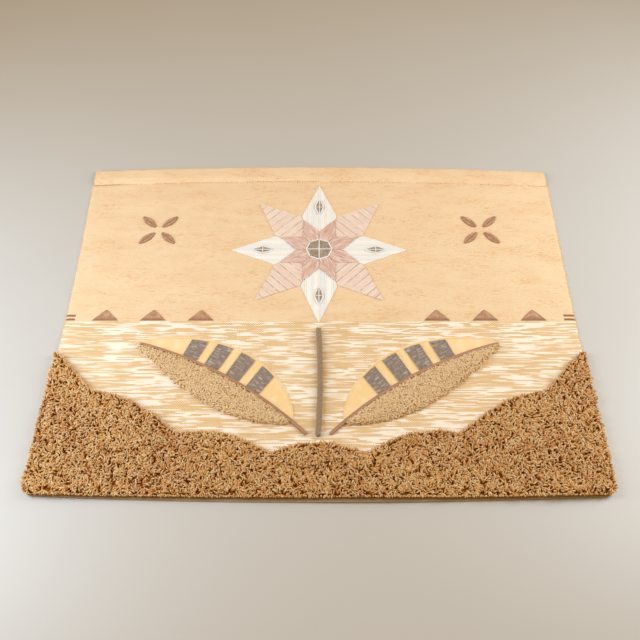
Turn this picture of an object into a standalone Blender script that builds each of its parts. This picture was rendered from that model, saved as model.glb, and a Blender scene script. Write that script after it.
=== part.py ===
"""A textile wall hanging, lying face up on the surface that it rests on.

X runs across the hanging, Y from the bottom hem to the rod sleeve, and Z up.
A plain and a streaked weave make the ground. Pile stands along the bottom and
up both sides, and the other pieces are sewn flat on the ground: a patchwork
star, a pair of leaves on a twisted stem, two small blossoms and six triangles.
"""

import math
import random

import bmesh
import bpy
from mathutils import Vector
from mathutils.geometry import delaunay_2d_cdt

# The cloth and its sleeve, in metres
CLOTH_HALF_WIDTH = 0.643
CLOTH_BOTTOM = -0.500
SEAM_Y = 0.445
CLOTH_THICKNESS = 0.0025
BOTTOM_BOW = 0.014
TOP_BOW = 0.018
TOP_PEAK_X = -0.06
LEFT_WAIST = 0.010
RIGHT_WAIST = 0.004
CORNER_RADIUS = 0.020
SEAM_GAP = 0.0003
NEAR = 0.001

SLEEVE_HEIGHT = 0.055
SLEEVE_INSET = 0.005
SLEEVE_LOFT = 0.0112
SLEEVE_WALL = 0.0022
SLEEVE_CROWN_SHARE = 0.6
SLEEVE_SQUARENESS = 2.6

# Soft folds that lift the cloth off the surface
FOLD_COLUMNS = ("x", "y", "turn_deg", "half_length", "half_width", "height")
FOLDS = (
    (0.36, 0.390, -6, 0.22, 0.040, 0.0030),
    (-0.34, 0.385, 5, 0.24, 0.045, 0.0025),
    (-0.58, 0.130, 62, 0.15, 0.050, 0.0035),
    (0.58, 0.090, -68, 0.14, 0.045, 0.0035),
    (-0.62, -0.090, 20, 0.08, 0.050, 0.0040),
    (-0.58, -0.500, 4, 0.15, 0.060, 0.0040),
    (0.56, -0.500, -4, 0.16, 0.060, 0.0050),
    (0.12, -0.505, 0, 0.20, 0.050, 0.0030),
)

# The pile: a deep valley between two sides, with scallops along its upper edge
PILE_GAP = 0.0009
LUMP_HEIGHTS = (0.0110, 0.0150, 0.0175, 0.0195)
PILE_VALLEY_Y = -0.395
PILE_SIDE_RISE = 0.245
PILE_SIDE_POWER = 2.2
HEM_AT_MIDDLE = 0.010
HEM_AT_CORNERS = 0.002
PILE_SIDE_OVERHANG = 0.002
SCALLOP_PITCH = 0.2150
SCALLOP_RISE = 0.030
LUMP_PITCH = 0.0175
LUMP_MARGIN = 0.0095
LUMP_JITTER = 0.0040
LOCK_WIDTH = 0.012
LOCK_SPACE = 0.006
LOCK_REACH = 0.009
LOCK_TAPER = 0.5
LOCK_SWAY = 0.003
RIM_COLUMNS = ("outward", "height")
RIM = ((0.0, 0.0), (0.0015, 0.0060), (-0.0040, 0.0125))

# The patchwork star
STAR_CENTRE = (0.0, 0.195)
STAR_POINTS = 8
STAR_SIDE = 0.127
STAR_HUB = 0.022
INNER_STAR_SIDE = 0.062
INNER_STAR_HUB = 0.014
PATCH_SEAM = 0.0006
PATCH_THICKNESS = 0.0015
PATCH_EDGE_MARGIN = 0.0015
PATCH_TIP_TRIM = 0.0040
BATTEN_PITCH = 0.0175
BATTEN_WIDTH = 0.0040
BATTEN_RISE = 0.0012
COURSE_PITCH = 0.0210
COURSE_RISE = 0.0012
STEP_RUN = 0.0003
CENTRE_RADIUS = 0.034
PANE_LENGTH = 0.050
PANE_WIDTH = 0.024
PANE_TIP_SHARE = 0.12
PANE_FROM_CENTRE = 0.150

# The two leaves: a padded short-pile half and a flat cloth half on either side of a cord
LEAF_BASE = (0.060, -0.310)
LEAF_TURN = math.radians(29)
LEAF_LENGTH = 0.440
LEAF_HALF_WIDTH = 0.082
LEAF_BEND = 0.026
LEAF_FULLNESS = 0.85
LEAF_BLUNTNESS = 0.78
LEAF_START = 0.012
LEAF_END = 0.985
LEAF_STEPS = 20
PAD_HEIGHT = 0.0115
PAD_EDGE = 0.0030
PAD_ROUNDNESS = 0.6
PAD_STEPS = 6
LEAF_CLOTH_THICKNESS = 0.0018
BAR_COUNT = 4
BAR_FIRST = 0.24
BAR_PITCH = 0.135
BAR_SHARE = 0.62
BAR_MARGIN = 0.007
BAR_CORD_MARGIN = 0.0015
BAR_THICKNESS = 0.0014
MIDRIB_WIDTH = 0.0090
MIDRIB_HEIGHT = 0.0052
MIDRIB_FROM = -0.100
MIDRIB_TO = 0.985

# The stem: a rope of three strands
STEM_FOOT = (0.0, -0.3480)
STEM_HEAD = (0.0, -0.0560)
STEM_SWAY = 0.004
STEM_RADIUS = 0.0074
STEM_SEAT = 0.9
STRAND_DEPTH = 0.0024
STRAND_COUNT = 3
STRAND_LAY = 0.050
ROPE_SIDES = 12
ROPE_STEP = 0.0042

# Small pieces
BLOSSOM_X = 0.435
BLOSSOM_Y = 0.265
PETAL_COUNT = 4
PETAL_LENGTH = 0.056
PETAL_WIDTH = 0.020
PETAL_THICKNESS = 0.0030
PETAL_GROOVE = 0.0010
PETAL_TIP = 0.04
PETAL_BLUNTNESS = 0.8
PETAL_RIDGE_SHARE = 0.45
PETAL_SIDE_SHARE = 0.6
PETAL_FROM_CENTRE = 0.040
TRIANGLE_XS = (0.295, 0.415, 0.535)
TRIANGLE_Y = -0.030
TRIANGLE_WIDTH = 0.064
TRIANGLE_HEIGHT = 0.032
TRIANGLE_THICKNESS = 0.0022

# Name, sRGB colour and roughness of each finish
FINISHES = {
    "ground_weave": ("F4D3A7", 0.95),
    "shag_wool": ("B2824C", 1.0),
    "short_pile": ("E2BA86", 1.0),
    "tan_cloth": ("FAD89C", 0.9),
    "taupe_cloth": ("7D6C62", 0.95),
    "brown_cord": ("9A6A50", 0.9),
    "twisted_rope": ("8C7560", 0.95),
    "white_canvas": ("F5F0E6", 0.8),
    "rose_canvas": ("E6CCBB", 0.8),
    "dusk_canvas": ("C59A8A", 0.8),
    "brown_felt": ("A97556", 0.95),
}


def clear_scene():
    for thing in list(bpy.data.objects):
        bpy.data.objects.remove(thing, do_unlink=True)


def linear(channel):
    """One sRGB channel, 0 to 1, as the linear value that a shader takes."""
    return channel / 12.92 if channel <= 0.04045 else ((channel + 0.055) / 1.055) ** 2.4


def finish(name):
    """The material of that name, made the first time that it is asked for."""
    found = bpy.data.materials.get(name)
    if found:
        return found
    hex_colour, roughness = FINISHES[name]
    made = bpy.data.materials.new(name)
    made.use_nodes = True
    shader = made.node_tree.nodes["Principled BSDF"]
    channels = [int(hex_colour[i : i + 2], 16) / 255 for i in (0, 2, 4)]
    shader.inputs["Base Color"].default_value = (*map(linear, channels), 1.0)
    shader.inputs["Roughness"].default_value = roughness
    shader.inputs["Metallic"].default_value = 0.0
    return made


def finished(name, shape, finish_name, smooth_below=40):
    """The bmesh as a named object, with its faces outwards and round parts shaded smooth."""
    bmesh.ops.recalc_face_normals(shape, faces=shape.faces)
    mesh = bpy.data.meshes.new(name)
    shape.to_mesh(mesh)
    shape.free()
    mesh.shade_smooth()
    mesh.set_sharp_from_angle(angle=math.radians(smooth_below))
    mesh.materials.append(finish(finish_name))
    thing = bpy.data.objects.new(name, mesh)
    bpy.context.scene.collection.objects.link(thing)
    return thing


def loft(name, rings, finish_name, smooth_below=40):
    """One closed solid through a row of like rings, with a flat cap at each end."""
    shape = bmesh.new()
    rows = [[shape.verts.new(point) for point in ring] for ring in rings]
    for row, after in zip(rows, rows[1:]):
        for i in range(len(row)):
            j = (i + 1) % len(row)
            shape.faces.new((row[i], row[j], after[j], after[i]))
    shape.faces.new(rows[0])
    shape.faces.new(rows[-1])
    return finished(name, shape, finish_name, smooth_below)


# The cloth


def lift(x, y):
    """How far the soft folds raise the cloth's underside at a point; 0 where it lies flat."""
    total = 0.0
    for row in FOLDS:
        fold = dict(zip(FOLD_COLUMNS, row))
        turn = math.radians(fold["turn_deg"])
        dx, dy = x - fold["x"], y - fold["y"]
        along = (dx * math.cos(turn) + dy * math.sin(turn)) / fold["half_length"]
        across = (dy * math.cos(turn) - dx * math.sin(turn)) / fold["half_width"]
        inside = max(0.0, 1 - along**2 - across**2)
        total += fold["height"] * inside**2
    return total


def top_of_cloth(x, y):
    return lift(x, y) + CLOTH_THICKNESS


def resting_on_cloth(x, y, gap=SEAM_GAP):
    return top_of_cloth(x, y) + gap


def bottom_edge(x):
    return CLOTH_BOTTOM + BOTTOM_BOW * (x / CLOTH_HALF_WIDTH) ** 2


def seam_line(x):
    """Where the sleeve is stitched down: a slow arch with its peak a little left of the middle."""
    return SEAM_Y - TOP_BOW * ((x - TOP_PEAK_X) / CLOTH_HALF_WIDTH) ** 2


def side_edge(y, side):
    """The cloth's edge on one side: side is -1 for left and 1 for right."""
    share = (y - CLOTH_BOTTOM) / (SEAM_Y - CLOTH_BOTTOM)
    waist = LEFT_WAIST if side < 0 else RIGHT_WAIST
    return side * (CLOTH_HALF_WIDTH - waist * math.sin(math.pi * share))


def at_bottom_corner(vert):
    beside = abs(vert.co.x) > CLOTH_HALF_WIDTH - NEAR
    return beside and vert.co.y < CLOTH_BOTTOM + BOTTOM_BOW + NEAR


def ground_cloth(columns=30, rows=21):
    """The woven ground, from the bottom hem to the seam under the sleeve, with its soft folds."""
    shape = bmesh.new()
    bmesh.ops.create_grid(shape, x_segments=columns, y_segments=rows, size=1)
    for vert in shape.verts:
        across, up = vert.co.x, (vert.co.y + 1) / 2
        x = across * CLOTH_HALF_WIDTH
        y = bottom_edge(x) + up * (seam_line(x) - bottom_edge(x))
        x = abs(across) * side_edge(y, math.copysign(1, across))
        vert.co = (x, y, lift(x, y))
    sheet = shape.faces[:]
    raised = bmesh.ops.extrude_face_region(shape, geom=sheet, use_keep_orig=True)
    top = [item for item in raised["geom"] if isinstance(item, bmesh.types.BMVert)]
    bmesh.ops.translate(shape, verts=top, vec=(0, 0, CLOTH_THICKNESS))
    corners = [edge for edge in shape.edges if all(map(at_bottom_corner, edge.verts))]
    bmesh.ops.bevel(
        shape,
        geom=corners,
        offset=CORNER_RADIUS,
        segments=4,
        profile=0.5,
        affect="EDGES",
        material=-1,
    )
    return finished("ground_cloth", shape, "ground_weave")


def sleeve_ring(x, shrink, sides=14):
    """The sleeve's cross-section at x, flat where it lies, drawn in by the wall for the tunnel."""
    half_depth = SLEEVE_HEIGHT / 2
    middle_y = seam_line(x) + SEAM_GAP + half_depth
    half_rise = SLEEVE_LOFT * SLEEVE_CROWN_SHARE
    middle_z = SLEEVE_LOFT - half_rise
    ring = []
    for i in range(sides):
        angle = math.tau * (i + 0.5) / sides
        c, s = math.cos(angle), math.sin(angle)
        reach_y = math.copysign(abs(c) ** (2 / SLEEVE_SQUARENESS), c)
        reach_z = math.copysign(abs(s) ** (2 / SLEEVE_SQUARENESS), s)
        y = middle_y + (half_depth - shrink) * reach_y
        z = max(shrink, middle_z + (half_rise - shrink) * reach_z)
        ring.append((x, y, z))
    return ring


def rod_sleeve(columns=16):
    """The top edge turned back and stitched down: a flattened tube, open at both ends."""
    half = CLOTH_HALF_WIDTH - SLEEVE_INSET
    shape = bmesh.new()
    outer, inner = [], []
    for i in range(columns + 1):
        x = -half + 2 * half * i / columns
        outer.append([shape.verts.new(p) for p in sleeve_ring(x, 0.0)])
        inner.append([shape.verts.new(p) for p in sleeve_ring(x, SLEEVE_WALL)])
    sides = len(outer[0])
    for wall in (outer, inner):
        for row, after in zip(wall, wall[1:]):
            for i in range(sides):
                j = (i + 1) % sides
                shape.faces.new((row[i], row[j], after[j], after[i]))
    for end in (0, -1):
        for i in range(sides):
            j = (i + 1) % sides
            shape.faces.new((outer[end][i], outer[end][j], inner[end][j], inner[end][i]))
    return finished("rod_sleeve", shape, "ground_weave")


# The pile


def pile_top_edge(x):
    share = min(1.0, abs(x) / CLOTH_HALF_WIDTH)
    valley = PILE_VALLEY_Y + PILE_SIDE_RISE * share**PILE_SIDE_POWER
    return valley + SCALLOP_RISE * abs(math.cos(math.pi * x / SCALLOP_PITCH))


def pile_bottom_edge(x):
    middle = 1 - (x / CLOTH_HALF_WIDTH) ** 2
    return bottom_edge(x) + HEM_AT_CORNERS + (HEM_AT_MIDDLE - HEM_AT_CORNERS) * middle


def pile_side(y, side):
    return side_edge(y, side) + side * PILE_SIDE_OVERHANG


def pile_outline_at_rest(fine=0.004):
    """The pile's outline as a fine closed line: along the hem, up the right side and back."""
    half = CLOTH_HALF_WIDTH + PILE_SIDE_OVERHANG
    steps = int(2 * half / fine)
    hem, crest = [], []
    for i in range(steps + 1):
        across = -1 + 2 * i / steps
        side = math.copysign(1, across)
        low = pile_bottom_edge(across * half)
        high = pile_top_edge(across * half)
        hem.append((abs(across) * pile_side(low, side), low))
        crest.append((abs(across) * pile_side(high, side), high))
    low, high = hem[-1][1], crest[-1][1]
    climb = int((high - low) / fine)
    ys = [low + (high - low) * i / climb for i in range(1, climb)]
    right = [(pile_side(y, 1), y) for y in ys]
    left = [(pile_side(y, -1), y) for y in reversed(ys)]
    return [Vector(point) for point in hem + right + crest[::-1] + left]


def rounded(line, passes=24):
    """A closed line with its corners worn round."""
    for _ in range(passes):
        line = [
            (line[i - 1] + 2 * line[i] + line[(i + 1) % len(line)]) / 4 for i in range(len(line))
        ]
    return line


def points_along(line, spacings):
    """Points round a closed line, at spacings that repeat, and an even number of them."""
    ends = line[1:] + line[:1]
    total = sum((b - a).length for a, b in zip(line, ends))
    rounds = round(total / sum(spacings))
    stretch = total / (rounds * sum(spacings))
    wanted, walked = [], 0.0
    for _ in range(rounds):
        for space in spacings:
            wanted.append(walked)
            walked += space * stretch
    found, done = [], 0.0
    for a, b in zip(line, ends):
        length = (b - a).length
        while len(found) < len(wanted) and wanted[len(found)] <= done + length:
            found.append(a.lerp(b, (wanted[len(found)] - done) / length))
        done += length
    return found


def moved_outwards(outline, distance):
    """A counter-clockwise closed line moved out by a distance."""
    moved = []
    for i, point in enumerate(outline):
        along = (outline[(i + 1) % len(outline)] - outline[i - 1]).normalized()
        moved.append(point + distance * Vector((along.y, -along.x)))
    return moved


def is_inside(point, outline):
    """True if the point is inside the closed line."""
    inside = False
    for a, b in zip(outline, outline[1:] + outline[:1]):
        if (a.y > point.y) != (b.y > point.y):
            if point.x < a.x + (point.y - a.y) * (b.x - a.x) / (b.y - a.y):
                inside = not inside
    return inside


def points_inside(outline, pitch, margin, jitter, seed):
    """An uneven grid of points inside a closed line, no nearer to it than the margin."""
    chance = random.Random(seed)
    fence = moved_outwards(outline, -margin)
    low_x, high_x = min(p.x for p in outline), max(p.x for p in outline)
    low_y, high_y = min(p.y for p in outline), max(p.y for p in outline)
    row_pitch = pitch * math.sqrt(3) / 2
    found = []
    for row in range(int((high_y - low_y) / row_pitch) + 1):
        for column in range(int((high_x - low_x) / pitch) + 2):
            x = low_x + (column + (row % 2) / 2) * pitch + chance.uniform(-jitter, jitter)
            y = low_y + row * row_pitch + chance.uniform(-jitter, jitter)
            point = Vector((x, y))
            if is_inside(point, fence) and min((point - p).length for p in outline) > margin:
                found.append(point)
    return found


def filled(outline, inside):
    """Triangles over the area in a closed line, through the points inside it."""
    count = len(outline)
    edges = [(i, (i + 1) % count) for i in range(count)]
    points, _, faces, *_ = delaunay_2d_cdt(outline + inside, edges, [], 1, 1e-7)
    if len(points) != count + len(inside):
        raise RuntimeError("the pile's outline meets itself or a point inside it")
    return faces


def add_locks(shape, faces, seed):
    """Draws each of these faces of the rim out into a lock that tapers and droops a little."""
    chance = random.Random(seed)
    made = bmesh.ops.extrude_discrete_faces(shape, faces=faces)
    for face in made["faces"]:
        centre = face.calc_center_median()
        outwards = Vector((face.normal.x, face.normal.y, 0)).normalized()
        reach = outwards * LOCK_REACH * chance.uniform(0.7, 1.2)
        sway = Vector((-outwards.y, outwards.x, 0)) * chance.uniform(-LOCK_SWAY, LOCK_SWAY)
        droop = Vector((0, 0, -chance.uniform(0.0, LOCK_SWAY)))
        for vert in face.verts:
            vert.co = centre + (vert.co - centre) * LOCK_TAPER + reach + sway + droop


def shag_pile():
    """The long pile as a lumpy slab with locks round its rim."""
    outline = points_along(rounded(pile_outline_at_rest()), (LOCK_WIDTH, LOCK_SPACE))
    rim = [dict(zip(RIM_COLUMNS, row)) for row in RIM]
    lines = [moved_outwards(outline, step["outward"]) for step in rim]
    shape = bmesh.new()

    def on_cloth(point, height):
        base = resting_on_cloth(point.x, point.y, PILE_GAP)
        return shape.verts.new((point.x, point.y, base + height))

    rings = [[on_cloth(p, step["height"]) for p in line] for line, step in zip(lines, rim)]
    walls = []
    for ring, above in zip(rings, rings[1:]):
        count = len(ring)
        walls.append(
            [
                shape.faces.new((ring[i], ring[(i + 1) % count], above[(i + 1) % count], above[i]))
                for i in range(count)
            ]
        )
    chance = random.Random(5)
    lumps = points_inside(lines[-1], LUMP_PITCH, LUMP_MARGIN, LUMP_JITTER, seed=3)
    above = rings[-1] + [on_cloth(p, chance.choice(LUMP_HEIGHTS)) for p in lumps]
    for face in filled(lines[-1], lumps):
        shape.faces.new([above[i] for i in face])
    rests = points_inside(lines[0], LUMP_PITCH * 2, LUMP_PITCH, 0.0, seed=4)
    below = rings[0] + [on_cloth(p, 0.0) for p in rests]
    for face in filled(lines[0], rests):
        shape.faces.new([below[i] for i in reversed(face)])
    bmesh.ops.recalc_face_normals(shape, faces=shape.faces)
    add_locks(shape, walls[1][::2], seed=6)
    return finished("shag_pile", shape, "shag_wool", smooth_below=75)


# The star


def turned(point, centre, angle):
    """A point (along, across) beside a centre, turned to an angle from +X."""
    along, across = point
    c, s = math.cos(angle), math.sin(angle)
    return (centre[0] + along * c - across * s, centre[1] + along * s + across * c)


class Diamond:
    """One rhombus of a patchwork star, from the star's centre to its point, less its seams."""

    def __init__(self, side, hub):
        self.half_angle = math.pi / STAR_POINTS
        self.middle = side * math.cos(self.half_angle)
        self.start = hub
        self.end = 2 * self.middle - PATCH_SEAM / math.sin(self.half_angle)
        self.seam = PATCH_SEAM / math.cos(self.half_angle)

    def half_width(self, along):
        from_tip = self.middle - abs(along - self.middle)
        return from_tip * math.tan(self.half_angle) - self.seam

    def reach(self, across):
        """How far the patch reaches along its axis at a distance to one side of it."""
        near = (abs(across) + self.seam) / math.tan(self.half_angle)
        return max(self.start, near), 2 * self.middle - near


def patch(name, stations, angle, base, finish_name):
    """A flat patch of the star through stations, each two ends and a height, at one angle."""
    rings = []
    for first, second, height in stations:
        ends = [turned(point, STAR_CENTRE, angle) for point in (first, second)]
        low = [(x, y, base) for x, y in ends]
        high = [(x, y, base + height) for x, y in reversed(ends)]
        rings.append(low + high)
    return loft(name, rings, finish_name, smooth_below=20)


def battened_patch(name, angle, base):
    """A white patch with narrow battens sewn along it."""
    diamond = Diamond(STAR_SIDE, STAR_HUB)
    widest = diamond.half_width(diamond.middle)
    edge = widest - PATCH_EDGE_MARGIN
    heights = {-edge: PATCH_THICKNESS, edge: PATCH_THICKNESS}
    for i in (-2, -1, 0, 1, 2):
        middle, half = i * BATTEN_PITCH, BATTEN_WIDTH / 2
        for side in (-1, 1):
            heights[middle + side * half] = PATCH_THICKNESS + BATTEN_RISE
            heights[middle + side * (half + STEP_RUN)] = PATCH_THICKNESS
    stations = []
    for across in sorted(heights):
        near, far = diamond.reach(across)
        stations.append(((near, across), (far, across), heights[across]))
    return patch(name, stations, angle, base, "white_canvas")


def coursed_patch(name, angle, base):
    """A rose patch of overlapping courses, each thicker at its outer edge."""
    diamond = Diamond(STAR_SIDE, STAR_HUB)
    heights = {}
    courses = math.ceil((diamond.end - diamond.start) / COURSE_PITCH)
    for i in range(courses):
        start = diamond.start + i * COURSE_PITCH
        stop = min(start + COURSE_PITCH, diamond.end - PATCH_TIP_TRIM)
        heights[start + STEP_RUN] = PATCH_THICKNESS
        if start < diamond.middle < stop:
            share = (diamond.middle - start) / COURSE_PITCH
            heights[diamond.middle] = PATCH_THICKNESS + COURSE_RISE * share
        heights[stop] = PATCH_THICKNESS + COURSE_RISE
    stations = []
    for along in sorted(heights):
        half = diamond.half_width(along)
        stations.append(((along, -half), (along, half), heights[along]))
    return patch(name, stations, angle, base, "rose_canvas")


def plain_patch(name, angle, base):
    """A small plain diamond of the inner star."""
    diamond = Diamond(INNER_STAR_SIDE, INNER_STAR_HUB)
    alongs = (diamond.start, diamond.middle, diamond.end - PATCH_TIP_TRIM)
    stations = [
        ((along, -diamond.half_width(along)), (along, diamond.half_width(along)), PATCH_THICKNESS)
        for along in alongs
    ]
    return patch(name, stations, angle, base, "dusk_canvas")


def star_pane(name, angle, base):
    """A small taupe lozenge on a white patch."""
    half = PANE_LENGTH / 2
    tip = PANE_WIDTH * PANE_TIP_SHARE
    shape = ((-half, tip), (0.0, PANE_WIDTH / 2), (half, tip))
    stations = [
        ((PANE_FROM_CENTRE + along, -wide), (PANE_FROM_CENTRE + along, wide), BAR_THICKNESS)
        for along, wide in shape
    ]
    return patch(name, stations, angle, base, "taupe_cloth")


def star_centre(base):
    """The eight-sided piece over the star's middle."""
    shape = bmesh.new()
    bmesh.ops.create_cone(
        shape,
        cap_ends=True,
        segments=STAR_POINTS,
        radius1=CENTRE_RADIUS,
        radius2=CENTRE_RADIUS - STEP_RUN,
        depth=PATCH_THICKNESS,
    )
    middle = Vector((*STAR_CENTRE, base + PATCH_THICKNESS / 2))
    bmesh.ops.translate(shape, verts=shape.verts, vec=middle)
    return finished("star_centre", shape, "taupe_cloth")


def patchwork_star():
    first = resting_on_cloth(*STAR_CENTRE)
    second = first + PATCH_THICKNESS + max(BATTEN_RISE, COURSE_RISE) + SEAM_GAP
    third = second + PATCH_THICKNESS + SEAM_GAP
    step = math.tau / STAR_POINTS
    for i in range(STAR_POINTS):
        angle = math.pi / 2 + i * step
        if i % 2 == 0:
            battened_patch(f"star_white_{i // 2 + 1}", angle, first)
            star_pane(f"star_pane_{i // 2 + 1}", angle, second)
        else:
            coursed_patch(f"star_rose_{i // 2 + 1}", angle, first)
        plain_patch(f"inner_star_{i + 1}", angle + step / 2, second)
    star_centre(third)


# The leaves


def on_leaf(side, share, across):
    """A point on a leaf: share runs from its base to its tip, and across is towards its top."""
    along = share * LEAF_LENGTH
    bend = LEAF_BEND * 4 * share * (1 - share)
    slope = math.atan2(LEAF_BEND * 4 * (1 - 2 * share), LEAF_LENGTH)
    along -= across * math.sin(slope)
    rise = bend + across * math.cos(slope)
    x, y = turned((along, rise), LEAF_BASE, LEAF_TURN)
    return side * x, y


def leaf_half_width(share):
    return LEAF_HALF_WIDTH * math.sin(math.pi * share**LEAF_FULLNESS) ** LEAF_BLUNTNESS


def leaf_shares(steps=LEAF_STEPS):
    """Places along a leaf, closer together where it rounds off at its ends."""
    parts = [(1 - math.cos(math.pi * i / steps)) / 2 for i in range(steps + 1)]
    return [LEAF_START + (LEAF_END - LEAF_START) * part for part in parts]


def leaf_pad(side, name):
    """The lower half of a leaf: a stuffed piece with a crown, flat underneath."""
    inner = -(MIDRIB_WIDTH / 2 + SEAM_GAP)
    rings = []
    for share in leaf_shares():
        outer = -leaf_half_width(share)
        fill = min(1.0, 2 * (inner - outer) / LEAF_HALF_WIDTH)
        ring = []
        for across in (outer, inner):
            x, y = on_leaf(side, share, across)
            ring.append((x, y, resting_on_cloth(x, y)))
        for i in range(PAD_STEPS + 1):
            part = i / PAD_STEPS
            x, y = on_leaf(side, share, inner + (outer - inner) * part)
            crown = (1 - (2 * part - 1) ** 2) ** PAD_ROUNDNESS
            height = PAD_EDGE + (PAD_HEIGHT - PAD_EDGE) * crown * math.sqrt(fill)
            ring.append((x, y, resting_on_cloth(x, y) + height))
        rings.append(ring)
    return loft(name, rings, "short_pile")


def leaf_strip(side, name, shares, inner_of, outer_of, lift_by, thickness, finish_name):
    """A flat piece on the upper half of a leaf, between two edges given for each share."""
    rings = []
    for share in shares:
        ring = []
        for across, height in (
            (inner_of(share), 0.0),
            (outer_of(share), 0.0),
            (outer_of(share), thickness),
            (inner_of(share), thickness),
        ):
            x, y = on_leaf(side, share, across)
            ring.append((x, y, resting_on_cloth(x, y) + lift_by + height))
        rings.append(ring)
    return loft(name, rings, finish_name)


def leaf_cloth(side, name):
    """The upper half of a leaf: flat cloth."""
    inner = MIDRIB_WIDTH / 2 + SEAM_GAP
    shares = leaf_shares()
    return leaf_strip(
        side,
        name,
        shares,
        lambda share: inner,
        leaf_half_width,
        0.0,
        LEAF_CLOTH_THICKNESS,
        "tan_cloth",
    )


def leaf_bar(side, name, index):
    """A taupe bar across the flat half."""
    inner = MIDRIB_WIDTH / 2 + BAR_CORD_MARGIN
    start = BAR_FIRST + index * BAR_PITCH
    shares = [start + BAR_PITCH * BAR_SHARE * i / 4 for i in range(5)]
    return leaf_strip(
        side,
        name,
        shares,
        lambda share: inner,
        lambda share: leaf_half_width(share) - BAR_MARGIN,
        LEAF_CLOTH_THICKNESS + SEAM_GAP,
        BAR_THICKNESS,
        "taupe_cloth",
    )


def leaf_midrib(side, name, steps=24, sides=6):
    """A flat cord between the two halves of a leaf, which runs on below them as its stalk."""
    rings = []
    for i in range(steps + 1):
        share = MIDRIB_FROM + (MIDRIB_TO - MIDRIB_FROM) * i / steps
        ring = []
        for k in range(sides):
            angle = math.tau * (k + 0.5) / sides
            across = MIDRIB_WIDTH / 2 * math.cos(angle)
            x, y = on_leaf(side, share, across)
            rise = MIDRIB_HEIGHT / 2 * (1 + math.sin(angle) / math.cos(math.pi / sides))
            ring.append((x, y, resting_on_cloth(x, y) + max(0.0, rise)))
        rings.append(ring)
    return loft(name, rings, "brown_cord", smooth_below=60)


def leaf(side, word):
    leaf_pad(side, f"leaf_pad_{word}")
    leaf_cloth(side, f"leaf_cloth_{word}")
    leaf_midrib(side, f"leaf_midrib_{word}")
    for i in range(BAR_COUNT):
        leaf_bar(side, f"leaf_bar_{word}_{i + 1}", i)


def stem_rope():
    """A rope of three strands that twist round each other, flat where it lies on the cloth."""
    foot, head = Vector(STEM_FOOT), Vector(STEM_HEAD)
    length = (head - foot).length
    steps = round(length / ROPE_STEP)
    rings = []
    for i in range(steps + 1):
        share = i / steps
        sway = STEM_SWAY * math.sin(math.pi * share)
        centre = foot.lerp(head, share) + Vector((sway, 0))
        turn = math.tau * share * length / STRAND_LAY
        base = resting_on_cloth(centre.x, centre.y)
        ring = []
        for k in range(ROPE_SIDES):
            angle = math.tau * k / ROPE_SIDES
            strand = abs(math.sin(STRAND_COUNT * angle / 2))
            radius = STEM_RADIUS - STRAND_DEPTH * (1 - strand)
            across = radius * math.cos(angle + turn)
            rise = max(0.0, STEM_RADIUS * STEM_SEAT + radius * math.sin(angle + turn))
            ring.append((centre.x + across, centre.y, base + rise))
        rings.append(ring)
    return loft("stem_rope", rings, "twisted_rope", smooth_below=60)


# The small pieces


def petal(name, centre, angle, steps=7):
    """An almond-shaped piece with a groove along its middle."""
    middle = turned((PETAL_FROM_CENTRE, 0), centre, angle)
    base = resting_on_cloth(*middle)
    rings = []
    for i in range(steps + 1):
        share = PETAL_TIP + (1 - 2 * PETAL_TIP) * i / steps
        along = (share - 0.5) * PETAL_LENGTH
        half = PETAL_WIDTH / 2 * math.sin(math.pi * share) ** PETAL_BLUNTNESS
        ridge, side = half * PETAL_RIDGE_SHARE, PETAL_THICKNESS * PETAL_SIDE_SHARE
        profile = (
            (-half, 0.0),
            (half, 0.0),
            (half, side),
            (ridge, PETAL_THICKNESS),
            (0.0, PETAL_THICKNESS - PETAL_GROOVE),
            (-ridge, PETAL_THICKNESS),
            (-half, side),
        )
        ring = []
        for across, height in profile:
            x, y = turned((along, across), middle, angle)
            ring.append((x, y, base + height))
        rings.append(ring)
    return loft(name, rings, "brown_felt", smooth_below=60)


def blossoms():
    for side, word in ((-1, "left"), (1, "right")):
        for i in range(PETAL_COUNT):
            angle = math.pi / 4 + i * math.tau / PETAL_COUNT
            petal(f"petal_{word}_{i + 1}", (side * BLOSSOM_X, BLOSSOM_Y), angle)


def triangle(name, x):
    """A small felt triangle that stands on the line between the two weaves."""
    half = TRIANGLE_WIDTH / 2
    corners = ((x - half, 0.0), (x + half, 0.0), (x, TRIANGLE_HEIGHT))
    rings = []
    for height in (0.0, TRIANGLE_THICKNESS):
        ring = []
        for corner_x, rise in corners:
            y = TRIANGLE_Y + rise
            ring.append((corner_x, y, resting_on_cloth(corner_x, y) + height))
        rings.append(ring)
    return loft(name, rings, "brown_felt")


def triangles():
    for side, word in ((-1, "left"), (1, "right")):
        for i, x in enumerate(TRIANGLE_XS):
            triangle(f"triangle_{word}_{i + 1}", side * x)


def centre_on_origin():
    """Moves the whole hanging so that its box is centred over the origin and rests on Z = 0."""
    bpy.context.view_layer.update()
    corners = [
        thing.matrix_world @ Vector(corner)
        for thing in bpy.data.objects
        for corner in thing.bound_box
    ]
    low = Vector([min(corner[i] for corner in corners) for i in range(3)])
    high = Vector([max(corner[i] for corner in corners) for i in range(3)])
    shift = Vector(((low.x + high.x) / 2, (low.y + high.y) / 2, low.z))
    for thing in bpy.data.objects:
        thing.location -= shift
    print("centred by", [round(value, 6) for value in shift])


def main():
    clear_scene()
    ground_cloth()
    rod_sleeve()
    shag_pile()
    patchwork_star()
    leaf(-1, "left")
    leaf(1, "right")
    stem_rope()
    blossoms()
    triangles()
    centre_on_origin()


main()
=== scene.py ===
"""The looks of a woven wall hanging that lies face up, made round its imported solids.

X runs across the hanging, Y from the bottom hem to the rod sleeve, and Z up.
Shapes are worked out in the design's own coordinates, and each finished mesh is
then moved by FROM_DESIGN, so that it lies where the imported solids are.
"""

import math

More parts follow.
